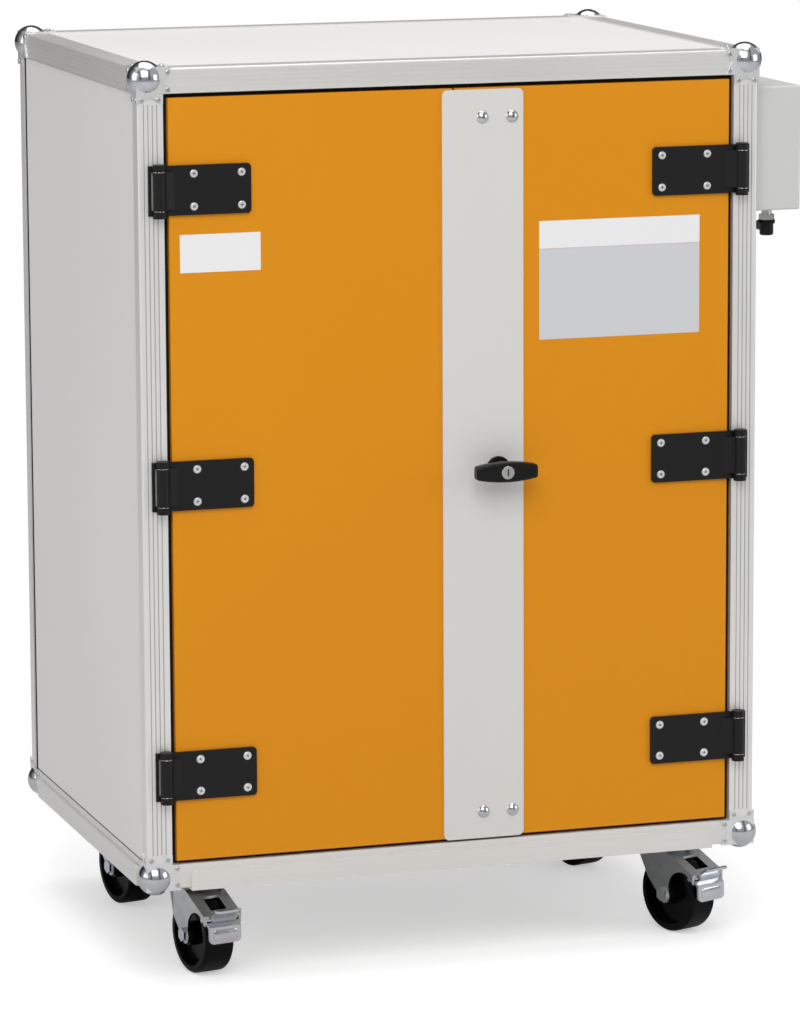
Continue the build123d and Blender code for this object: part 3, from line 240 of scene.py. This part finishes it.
finishes = {
    "orangeLaminate": {"low": (217, 137, 0), "high": (222, 144, 4), "rough": 0.5, "metal": 0, "coat": 0.0,
                       "scale": 900, "stretch": (1, 1, 1), "bump": 0.04, "scuff": 0.05},
    "wallLaminate": {"low": (226, 224, 223), "high": (232, 230, 229), "rough": 0.62, "metal": 0, "coat": 0.0,
                     "scale": 700, "stretch": (1, 1, 1), "bump": 0.05, "scuff": 0.06, "gloss": 0.18},
    "stripCoating": {"low": (212, 210, 207), "high": (217, 215, 212), "rough": 0.46, "metal": 0, "coat": 0.1,
                     "scale": 1500, "stretch": (1, 1, 1), "bump": 0.06, "scuff": 0.04},
    "aluminiumUpright": {"low": (234, 232, 230), "high": (244, 243, 241), "rough": 0.36, "metal": 0.45,
                         "coat": 0, "scale": 420, "stretch": (1, 1, 0.01), "bump": 0.05, "scuff": 0.08},
    "aluminiumLevel": {"low": (230, 228, 224), "high": (238, 236, 232), "rough": 0.36, "metal": 0.45, "coat": 0,
                       "scale": 420, "stretch": (0.01, 0.01, 1), "bump": 0.05, "scuff": 0.08},
    "brightZinc": {"low": (205, 208, 212), "high": (228, 231, 235), "rough": 0.16, "metal": 1, "coat": 0,
                   "scale": 40, "stretch": (1, 1, 1), "bump": 0.02, "scuff": 0.20},
    "zincPlate": {"low": (186, 189, 190), "high": (216, 218, 218), "rough": 0.30, "metal": 0.9, "coat": 0,
                  "scale": 90, "stretch": (1, 1, 1), "bump": 0.04, "scuff": 0.25},
    "blackCoat": {"low": (19, 18, 18), "high": (25, 24, 24), "rough": 0.45, "metal": 0, "coat": 0.0,
                  "scale": 1400, "stretch": (1, 1, 1), "bump": 0.18, "scuff": 0.15},
    "blackPlastic": {"low": (10, 10, 10), "high": (15, 15, 15), "rough": 0.4, "metal": 0, "coat": 0.0,
                     "scale": 900, "stretch": (1, 1, 1), "bump": 0.08, "scuff": 0.10},
    "wheelRubber": {"low": (4, 4, 4), "high": (8, 8, 8), "rough": 0.2, "metal": 0, "coat": 0.0,
                    "scale": 300, "stretch": (1, 1, 1), "bump": 0.08, "scuff": 0.30, "gloss": 0.14},
    "boxPlastic": {"low": (200, 201, 199), "high": (206, 207, 205), "rough": 0.5, "metal": 0, "coat": 0,
                   "scale": 1200, "stretch": (1, 1, 1), "bump": 0.10, "scuff": 0.04},
    "boardInside": {"low": (205, 202, 195), "high": (219, 216, 210), "rough": 0.85, "metal": 0, "coat": 0,
                    "scale": 260, "stretch": (1, 1, 1), "bump": 0.15, "scuff": 0.20},
    # black seal foam, also used for painted shade in the rear panel gap and the socket pin holes
    "sealFoamAndShade": {"low": (14, 14, 14), "high": (24, 24, 24), "rough": 0.9, "metal": 0, "coat": 0,
                 "scale": 500, "stretch": (1, 1, 1), "bump": 0.30, "scuff": 0},
    "whitePlastic": {"low": (233, 233, 230), "high": (240, 240, 237), "rough": 0.45, "metal": 0, "coat": 0.1,
                     "scale": 900, "stretch": (1, 1, 1), "bump": 0.04, "scuff": 0.03},
    "plateWhite": {"low": (232, 232, 233), "high": (238, 238, 239), "rough": 0.4, "metal": 0, "coat": 0.2,
                   "scale": 1200, "stretch": (1, 1, 1), "bump": 0.02, "scuff": 0.02},
    "plateGrey": {"low": (203, 204, 207), "high": (208, 209, 212), "rough": 0.4, "metal": 0, "coat": 0.2,
                  "scale": 1200, "stretch": (1, 1, 1), "bump": 0.02, "scuff": 0.02},
    "cylinderSteel": {"low": (196, 194, 188), "high": (224, 222, 216), "rough": 0.28, "metal": 0.9, "coat": 0,
                      "scale": 600, "stretch": (1, 1, 0.1), "bump": 0.08, "scuff": 0.2},
    "forkZinc": {"low": (190, 192, 192), "high": (222, 224, 224), "rough": 0.2, "metal": 1, "coat": 0,
                 "scale": 60, "stretch": (1, 1, 1), "bump": 0.06, "scuff": 0.3},
    "legSteel": {"low": (222, 222, 222), "high": (238, 238, 238), "rough": 0.3, "metal": 0.5, "coat": 0,
                 "scale": 90, "stretch": (1, 1, 1), "bump": 0.03, "scuff": 0.2},
    # dark grey painted shade for the hinge screws' cross recesses
    "recessShade": {"low": (70, 70, 70), "high": (100, 100, 100), "rough": 0.6, "metal": 0, "coat": 0,
                    "scale": 400, "stretch": (1, 1, 1), "bump": 0.0, "scuff": 0.1},
    # mid-grey painted shade for the floors of the post grooves
    "grooveShade": {"low": (158, 155, 152), "high": (172, 169, 166), "rough": 0.5, "metal": 0.2, "coat": 0,
                    "scale": 400, "stretch": (1, 1, 1), "bump": 0.0, "scuff": 0.1},
}


def makeFinish(name, look):
    material = bpy.data.materials.new(name)
    material.use_nodes = True
    tree = material.node_tree
    shader = tree.nodes["Principled BSDF"]
    grain = addGroup(tree, grainGroup, {"Stretch": look["stretch"], "Scale": look["scale"]})
    scuffs = addGroup(tree, scuffGroup, {"Scale": scuffLook["scale"], "Amount": look["scuff"]})
    blend = mathNode(tree, "ADD", mathNode(tree, "MULTIPLY", grain.outputs["Value"], 0.5),
                     mathNode(tree, "MULTIPLY", grain.outputs["Cloud"], 0.5))
    colour = ramp(tree, blend, linear(look["low"]), linear(look["high"]))
    tree.links.new(colour, shader.inputs["Base Color"])
    around = mathNode(tree, "SUBTRACT", grain.outputs["Cloud"], 0.5)
    spread = mathNode(tree, "MULTIPLY", around, paintLook["cloudRough"])
    base = mathNode(tree, "ADD", spread, look["rough"])
    worn = mathNode(tree, "MULTIPLY", scuffs.outputs["Mask"], scuffLook["rougher"])
    tree.links.new(mathNode(tree, "ADD", base, worn), shader.inputs["Roughness"])
    bump = tree.nodes.new("ShaderNodeBump")
    bump.inputs["Strength"].default_value = look["bump"]
    bump.inputs["Distance"].default_value = paintLook["bumpDistance"]
    tree.links.new(grain.outputs["Value"], bump.inputs["Height"])
    tree.links.new(bump.outputs[0], shader.inputs["Normal"])
    shader.inputs["Metallic"].default_value = look["metal"]
    shader.inputs["Coat Weight"].default_value = look["coat"]
    usual = paintLook["metalGloss"] if look["metal"] else paintLook["plainGloss"]
    shader.inputs["Specular IOR Level"].default_value = look.get("gloss", usual)
    return material


finish = {name: makeFinish(name, look) for name, look in finishes.items()}
print("finishes made:", len(finish))

nodeFinish = {
    "corner_posts": "aluminiumUpright", "frame_rails": "aluminiumLevel", "ball_corners": "brightZinc",
    "side_panels": "wallLaminate", "back_panel": "wallLaminate", "top_panel": "wallLaminate",
    "floor_panel": "wallLaminate", "lining_boards": "boardInside", "base_tray": "aluminiumLevel",
    "frame_seal": "sealFoamAndShade", "hinge_frame_leaves": "blackCoat", "hinge_pins": "blackCoat",
    "shelf_uprights": "zincPlate", "shelves": "zincPlate", "shelf_clips": "zincPlate",
    "power_strips": "blackPlastic", "smoke_sensor": "whitePlastic", "electrics_box_base": "boxPlastic",
    "electrics_box_lid": "boxPlastic", "box_lid_screws": "zincPlate", "connector_fittings": "cylinderSteel",
    "connector_plug": "blackPlastic", "strike_plates": "zincPlate", "castor_plates": "zincPlate",
    "castor_kingpins": "zincPlate", "castor_bolts": "brightZinc", "right_door_panel": "orangeLaminate",
    "right_door_lining": "boardInside", "right_hinge_leaves": "blackCoat", "right_hinge_screws": "brightZinc",
    "cover_strip": "stripCoating", "strip_bolts": "brightZinc", "strip_screws": "stripCoating",
    "handle_rosette": "blackPlastic", "lock_case": "zincPlate", "rod_guides": "blackPlastic",
    "t_handle": "blackPlastic", "lock_pinion": "zincPlate", "key_cylinder": "cylinderSteel",
    "upper_rod": "zincPlate", "lower_rod": "zincPlate", "left_door_panel": "orangeLaminate",
    "left_door_lining": "boardInside", "left_hinge_leaves": "blackCoat", "left_hinge_screws": "brightZinc",
    "castor_fork": "forkZinc", "castor_axle": "brightZinc", "castor_wheel": "wheelRubber",
    "brake_pedal": "brightZinc",
}
for name, node in nodes.items():
    family = name
    for ending in ("_front_left", "_front_right", "_rear_left", "_rear_right"):
        family = family.removesuffix(ending)
    node.data.materials.clear()
    node.data.materials.append(finish[nodeFinish[family]])

# Polished balls, duller legs
corners = {"x": 387.0, "y": 287.0, "z": (141.0, 1129.0), "radius": 21.9}
shape = nodes["ball_corners"].data
shape.materials.append(finish["legSteel"])
ballCentres = [place(sx * corners["x"], sy * corners["y"], z)
               for sx in (-1, 1) for sy in (-1, 1) for z in corners["z"]]
for face in shape.polygons:
    nearest = min((face.center - centre).length for centre in ballCentres)
    face.material_index = 0 if nearest < corners["radius"] * mm else 1

# Rivets on the ends of the ball corners' legs
rivets = {"radius": 3.0, "height": 1.3, "crown": 1.1, "along": 38.0, "low": 5.0, "high": 26.0,
          "plate": 1.5, "sideLow": 4.0, "sideHigh": 17.0}


def rivetPlaces():
    places = []
    along = rivets["along"]
    plate = rivets["plate"]
    endX = shell["halfWidth"]
    endY = shell["halfDepth"]
    alongX = [(along, rivets["low"]), (along, rivets["high"])]
    across = [(rivets["low"], along), (rivets["high"], along)]
    acrossSide = [(rivets["sideLow"], along), (rivets["sideHigh"], along)]
    for sx in (-1, 1):
        for sy in (-1, 1):
            for sz, baseZ in ((1, shell["low"]), (-1, shell["high"])):
                for a, b in alongX + across:
                    front = place(sx * (endX - a), sy * (endY + plate), baseZ + sz * b)
                    places.append(facing(front, (0, sy, 0)))
                    flat = place(sx * (endX - a), sy * (endY - b), baseZ - sz * plate)
                    places.append(facing(flat, (0, 0, -sz)))
                for a, b in alongX + acrossSide:
                    side = place(sx * (endX + plate), sy * (endY - a), baseZ + sz * b)
                    places.append(facing(side, (sx, 0, 0)))
    return places


rivetShape = meshOf(roundHead(rivets["radius"], rivets["height"], rivets["crown"], 12))
addPiece("cornerRivets", stamp(rivetShape, rivetPlaces()), "cabinet", finish["zincPlate"])
print("rivets set")

# Raised heads on the hinge screws, with a dark grey cross that is painted shade of the cross recess
hingeHeights = (270.9, 632.5, 994.1)
hingeScrews = {"face": -304.0, "x": (271.5, 331.5), "spread": 20.0, "firstTurn": 12, "turn": 31,
               "radius": 4.5, "height": 1.1, "crown": 0.8, "crossLong": 4.4, "crossWide": 0.9, "crossDeep": 0.5}
headShape = meshOf(roundHead(hingeScrews["radius"], hingeScrews["height"], hingeScrews["crown"]))


def crossShape(settings):
    bm = bmesh.new()
    lift = Matrix.Translation((0, 0, (settings["height"] - settings["crossDeep"] / 2 + 0.05) * mm))
    for turn in (0, math.pi / 2):
        spot = lift @ Matrix.Rotation(turn, 4, "Z")
        addBlock(bm, spot, settings["crossLong"], settings["crossWide"], settings["crossDeep"])
    return meshOf(bm)


for side, body, word in ((-1, "left_door", "left"), (1, "right_door", "right")):
    spots = []
    for z in hingeHeights:
        for x in hingeScrews["x"]:
            for dz in (-hingeScrews["spread"], hingeScrews["spread"]):
                angle = hingeScrews["turn"] * len(spots) + hingeScrews["firstTurn"]
                spot = facing(place(side * x, hingeScrews["face"], z + dz), (0, -1, 0))
                spots.append(spot @ Matrix.Rotation(math.radians(angle), 4, "Z"))
    heads = stamp(headShape, spots)
    addPiece(word + "HingeScrewHeads", heads, body, finish["legSteel"])
    addPiece(word + "HingeScrewCrossShade", stamp(crossShape(hingeScrews), spots), body,
             finish["recessShade"], smooth=False)
print("hinge screws finished")

# Thin washers where the hinge knuckles meet
washers = {"x": 376.0, "y": -309.0, "radius": 7.75, "height": 0.5, "rim": 0.25, "offset": 23.7}
washerShape = meshOf(roundHead(washers["radius"], washers["height"], washers["rim"], 28))
washerSpots = []
for side in (-1, 1):
    for z in hingeHeights:
        for dz in (-washers["offset"], washers["offset"]):
            point = place(side * washers["x"], washers["y"], z + dz - washers["height"] / 2)
            washerSpots.append(facing(point, (0, 0, 1)))
addPiece("hingeWashers", stamp(washerShape, washerSpots), "cabinet", finish["brightZinc"])

# Blank notice plates on the doors
noticePlates = {
    "leftNotice": {"x": (-349.0, -247.4), "z": (893.0, 939.6), "body": "left_door", "finish": "plateWhite"},
    "rightNoticeHead": {"x": (111.0, 323.0), "z": (903.5, 938.0), "body": "right_door", "finish": "plateWhite"},
    "rightNotice": {"x": (111.0, 323.0), "z": (790.0, 903.2), "body": "right_door", "finish": "plateGrey"},
}
noticeShape = {"depth": 0.4, "corner": 0.8, "rim": 0.1}
for name, spot in noticePlates.items():
    x0, x1 = spot["x"]
    z0, z1 = spot["z"]
    bm = roundedPlate(x1 - x0, z1 - z0, noticeShape["depth"], noticeShape["corner"], noticeShape["rim"])
    spin = Matrix.Rotation(math.radians(90), 4, "X")
    seat = Matrix.Translation(place((x0 + x1) / 2, -shell["halfDepth"], (z0 + z1) / 2)) @ spin
    bmesh.ops.transform(bm, matrix=seat, verts=bm.verts)
    addPiece(name, bm, spot["body"], finish[spot["finish"]], smooth=False)
print("notice plates set")

# Dark joint lines round the side panels, and a wider dark strip at the rear that is painted shade of the gap by
# the rear post
joints = {"face": 398.0, "proud": 0.15, "width": 2.0, "rearShadeWidth": 6.5,
          "y": (-278.0, 278.0), "z": (158.0, 1112.0)}
bm = bmesh.new()


def addBar(bm, x0, x1, y0, y1, z0, z1):
    low, high = place(x0, y0, z0), place(x1, y1, z1)
    addBlock(bm, Matrix.Translation((low + high) / 2), abs(x1 - x0), abs(y1 - y0), abs(z1 - z0))


for side in (-1, 1):
    inner = side * joints["face"]
    outer = side * (joints["face"] + joints["proud"])
    y0, y1 = joints["y"]
    z0, z1 = joints["z"]
    addBar(bm, inner, outer, y0, y0 + joints["width"], z0, z1)
    # wider rear strip: painted shade of the gap by the rear post
    addBar(bm, inner, outer, y1 - joints["rearShadeWidth"], y1, z0, z1)
    addBar(bm, inner, outer, y0, y1, z0, z0 + joints["width"])
    addBar(bm, inner, outer, y0, y1, z1 - joints["width"], z1)
addPiece("panelJointsAndRearShade", bm, "cabinet", finish["sealFoamAndShade"], smooth=False)
print("joints drawn")

# Painted shade: mid-grey strips on the floors of the grooves in the corner posts
grooves = {"pitch": 5.5, "width": 1.1, "count": 4, "floor": 0.38, "thick": 0.1,
           "front": 7.2, "rear": 6.2, "ends": 44.0}
bm = bmesh.new()
floorIn = grooves["floor"]
floorOut = grooves["floor"] - grooves["thick"]
for n in range(grooves["count"]):
    step = n * grooves["pitch"]
    for side in (-1, 1):
        for sign, first in ((1, grooves["front"]), (-1, grooves["rear"])):
            x = shell["halfWidth"] - first - step
            y = -sign * shell["halfDepth"]
            addBar(bm, side * x, side * (x - grooves["width"]), y + sign * floorOut, y + sign * floorIn,
                   shell["low"] + grooves["ends"], shell["high"] - grooves["ends"])
addPiece("grooveShadeStrips", bm, "cabinet", finish["grooveShade"], smooth=False)
print("grooves shaded")

# Ribs round the connector plug's upper ring
plugRibs = {"x": 443.0, "y": -225.0, "below": 3.0, "radius": 10.4, "count": 24,
            "thick": 0.8, "width": 1.0, "height": 4.2}
plugCentre = place(plugRibs["x"], plugRibs["y"], 0)
plugCentre.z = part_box("connector_plug")[1].z - plugRibs["below"] * mm
bm = bmesh.new()
for n in range(plugRibs["count"]):
    turn = Matrix.Rotation(2 * math.pi * n / plugRibs["count"], 4, "Z")
    rib = Matrix.Translation(plugCentre) @ turn @ Matrix.Translation((plugRibs["radius"] * mm, 0, 0))
    addBlock(bm, rib, plugRibs["thick"], plugRibs["width"], plugRibs["height"])
addPiece("plugRibs", bm, "cabinet", finish["blackPlastic"], smooth=False)

# Rounded corners and a raised pad on the brake pedals
pedals = {"castor": (316.0, -185.0), "turn": {"left": 11.0, "right": 21.0},
          "stepHalf": 22.0, "stepLow": 50.0, "lipHalf": 17.0, "lipFront": -116.0,
          "round": 6.0, "segments": 5, "near": 0.6, "flat": 0.5, "weld": 0.01, "padRim": 0.9,
          "padSize": (33.0, 15.0), "padDepth": 1.4, "padCorner": 5.0, "padAt": (-101.4, 60.0), "padTilt": 2.7}
for side, word in ((-1, "left"), (1, "right")):
    x, y = pedals["castor"]
    swing = Matrix.Rotation(math.radians(pedals["turn"][word]), 4, "Z")
    castor = Matrix.Translation(place(side * x, y, 0)) @ swing
    bm = bmesh.new()
    bm.from_mesh(nodes["brake_pedal_front_" + word].data)
    bmesh.ops.remove_doubles(bm, verts=bm.verts, dist=pedals["weld"] * mm)
    bmesh.ops.dissolve_limit(bm, angle_limit=math.radians(pedals["flat"]), verts=bm.verts, edges=bm.edges)
    toCastor = castor.inverted()
    cornerEdges = []
    for edge in bm.edges:
        spots = [(toCastor @ vert.co) / mm for vert in edge.verts]
        atStep = all(abs(abs(spot.x) - pedals["stepHalf"]) < pedals["near"]
                     and abs(spot.z - pedals["stepLow"]) < pedals["near"] for spot in spots)
        atLip = all(abs(abs(spot.x) - pedals["lipHalf"]) < pedals["near"]
                    and abs(spot.y - pedals["lipFront"]) < pedals["near"] for spot in spots)
        if (atStep or atLip) and spots[0].x * spots[1].x > 0:
            cornerEdges.append(edge)
    easeEdges(bm, cornerEdges, pedals["round"], pedals["segments"])
    print("pedal corners rounded:", word, len(cornerEdges))
    bmesh.ops.triangulate(bm, faces=bm.faces)
    pedal = addPiece(word + "BrakePedal", bm, "pedal_front_" + word, finish["brightZinc"])
    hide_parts("brake_pedal_front_" + word)
    bm = roundedPlate(*pedals["padSize"], pedals["padDepth"], pedals["padCorner"], pedals["padRim"])
    y, z = pedals["padAt"]
    lean = Matrix.Rotation(math.radians(90 - pedals["padTilt"]), 4, "X")
    seat = castor @ Matrix.Translation(Vector((0, y, z)) * mm) @ lean
    bmesh.ops.transform(bm, matrix=seat, verts=bm.verts)
    addPiece(word + "PedalPad", bm, "pedal_front_" + word, finish["brightZinc"])

# Dark discs painted as the shade in the sockets' pin holes
sockets = {"count": 6, "pitch": 70.0, "pin": 2.5, "apart": 19.0, "depth": 0.4, "rim": 0.1, "recess": 3.5,
           "stripHeight": 54.0, "steps": (0.0, 231.5, 461.5)}
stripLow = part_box("power_strips")[0]
holeShadeDisc = meshOf(roundHead(sockets["pin"], sockets["depth"], sockets["rim"], 12))
spots = []
for step in sockets["steps"]:
    for n in range(sockets["count"]):
        x = (n - (sockets["count"] - 1) / 2) * sockets["pitch"]
        for dx in (-sockets["apart"] / 2, sockets["apart"] / 2):
            height = stripLow.z + (sockets["stripHeight"] / 2 + step) * mm
            point = Vector((middle.x + (x + dx) * mm, stripLow.y + sockets["recess"] * mm, height))
            spots.append(facing(point, (0, -1, 0)))
addPiece("socketHoleShade", stamp(holeShadeDisc, spots), "cabinet", finish["sealFoamAndShade"])
print("small pieces done")

# Floor, light and background
stage = {"floor": (226, 226, 226), "reflectionShade": (200, 201, 204), "rough": 0.7, "gloss": 0.1, "lift": 0.46,
         "size": 30.0, "drop": 0.0005, "fadeFrom": 0.55, "fadeTo": 1.5}
bm = bmesh.new()
bmesh.ops.create_grid(bm, x_segments=1, y_segments=1, size=stage["size"] / 2)
floorMesh = bpy.data.meshes.new("floor")
bm.to_mesh(floorMesh)
bm.free()
floor = bpy.data.objects.new("floor", floorMesh)
bpy.context.scene.collection.objects.link(floor)
floor.location.z = -stage["drop"]
floorPaint = bpy.data.materials.new("floorPaint")
floorPaint.use_nodes = True
tree = floorPaint.node_tree
paint = tree.nodes["Principled BSDF"]
paint.inputs["Roughness"].default_value = stage["rough"]
paint.inputs["Specular IOR Level"].default_value = stage["gloss"]
glow = tree.nodes.new("ShaderNodeEmission")
rays = tree.nodes.new("ShaderNodeLightPath")
seen = rays.outputs["Is Camera Ray"]
# reflections see a darker floor than the camera does: painted shade in the reflections
ground = blendColours(tree, rays.outputs["Is Glossy Ray"], linear(stage["floor"]), linear(stage["reflectionShade"]))
tree.links.new(ground, paint.inputs["Base Color"])
tree.links.new(mathNode(tree, "MULTIPLY", seen, stage["lift"]), glow.inputs["Strength"])
both = tree.nodes.new("ShaderNodeAddShader")
tree.links.new(paint.outputs[0], both.inputs[0])
tree.links.new(glow.outputs[0], both.inputs[1])
coords = tree.nodes.new("ShaderNodeTexCoord")
reach = tree.nodes.new("ShaderNodeVectorMath")
reach.operation = "LENGTH"
tree.links.new(coords.outputs["Object"], reach.inputs[0])
fade = smoothStep(tree, reach.outputs["Value"], stage["fadeFrom"], stage["fadeTo"])
white = tree.nodes.new("ShaderNodeEmission")
outside = tree.nodes.new("ShaderNodeMixShader")
tree.links.new(mathNode(tree, "MULTIPLY", fade, seen), outside.inputs["Fac"])
tree.links.new(both.outputs[0], outside.inputs[1])
tree.links.new(white.outputs[0], outside.inputs[2])
tree.links.new(outside.outputs[0], tree.nodes["Material Output"].inputs["Surface"])
floorMesh.materials.append(floorPaint)

studio = {"low": (205, 206, 208), "high": (252, 252, 252), "dim": 0.55, "behind": (0.1, 0.75),
          "flags": ((0.32, 0.1), (-0.62, 0.08)), "soft": 0.6, "depth": 0.88, "aim": (0, 0, 0.6)}
world = bpy.data.worlds.new("studio")
bpy.context.scene.world = world
world.use_nodes = True
tree = world.node_tree
sky = tree.nodes["Background"]
rays = tree.nodes.new("ShaderNodeLightPath")
coords = tree.nodes.new("ShaderNodeTexCoord")
split = tree.nodes.new("ShaderNodeSeparateXYZ")
tree.links.new(coords.outputs["Generated"], split.inputs[0])
shade = ramp(tree, split.outputs["Z"], linear(studio["low"]), linear(studio["high"]), 0.0, 0.5)
seen = rays.outputs["Is Camera Ray"]
tree.links.new(blendColours(tree, seen, shade, (1, 1, 1, 1)), sky.inputs["Color"])
flags = smoothStep(tree, split.outputs["Y"], *studio["behind"])  # dark screens that only reflections show
for middleX, half in studio["flags"]:
    gap = mathNode(tree, "ABSOLUTE", mathNode(tree, "SUBTRACT", split.outputs["X"], middleX), 0.0)
    screen = mathNode(tree, "SUBTRACT", 1.0, smoothStep(tree, gap, half * studio["soft"], half))
    flags = mathNode(tree, "MAXIMUM", flags, screen)
reflected = mathNode(tree, "MULTIPLY", flags, rays.outputs["Is Glossy Ray"])
dark = mathNode(tree, "MULTIPLY", reflected, studio["depth"])
dim = mathNode(tree, "MULTIPLY", mathNode(tree, "SUBTRACT", 1.0, seen), studio["dim"])
bright = mathNode(tree, "SUBTRACT", 1.0, dim)
strength = mathNode(tree, "MULTIPLY", bright, mathNode(tree, "SUBTRACT", 1.0, dark))
tree.links.new(strength, sky.inputs["Strength"])

lamps = {
    "keyLight": {"at": (-1.2, -3.4, 3.4), "size": 2.6, "power": 91.0},
    "topLight": {"at": (0.2, 0.4, 4.2), "size": 3.4, "power": 62.0},
    "leftLight": {"at": (-4.0, -0.6, 1.8), "size": 2.6, "power": 22.0},
    "rightLight": {"at": (3.6, -2.4, 1.6), "size": 2.0, "power": 27.0},
}
for name, lamp in lamps.items():
    light = bpy.data.lights.new(name, "AREA")
    light.energy = lamp["power"]
    light.size = lamp["size"]
    holder = bpy.data.objects.new(name, light)
    bpy.context.scene.collection.objects.link(holder)
    holder.location = lamp["at"]
    aim = Vector(studio["aim"]) - Vector(lamp["at"])
    holder.rotation_euler = aim.to_track_quat("-Z", "Y").to_euler()

view = {"at": (-1.9805, -6.1578, 1.6712), "yaw": 17.735, "pitch": -9.936, "roll": -0.27,
        "focal": 5065.0, "longSide": 1013.0, "clip": 60}
lens = bpy.data.cameras.new("camera")
lens.lens = view["focal"] / view["longSide"] * lens.sensor_width
lens.clip_end = view["clip"]
camera = bpy.data.objects.new("camera", lens)
bpy.context.scene.collection.objects.link(camera)
camera.location = view["at"]
yaw = Matrix.Rotation(math.radians(-view["yaw"]), 3, "Z")
pitch = Matrix.Rotation(math.radians(90 + view["pitch"]), 3, "X")
roll = Matrix.Rotation(math.radians(view["roll"]), 3, "Z")
camera.rotation_euler = (yaw @ pitch @ roll).to_euler()
bpy.context.scene.camera = camera
bpy.context.scene.view_settings.view_transform = "Standard"
print("stage, lamps and camera set")
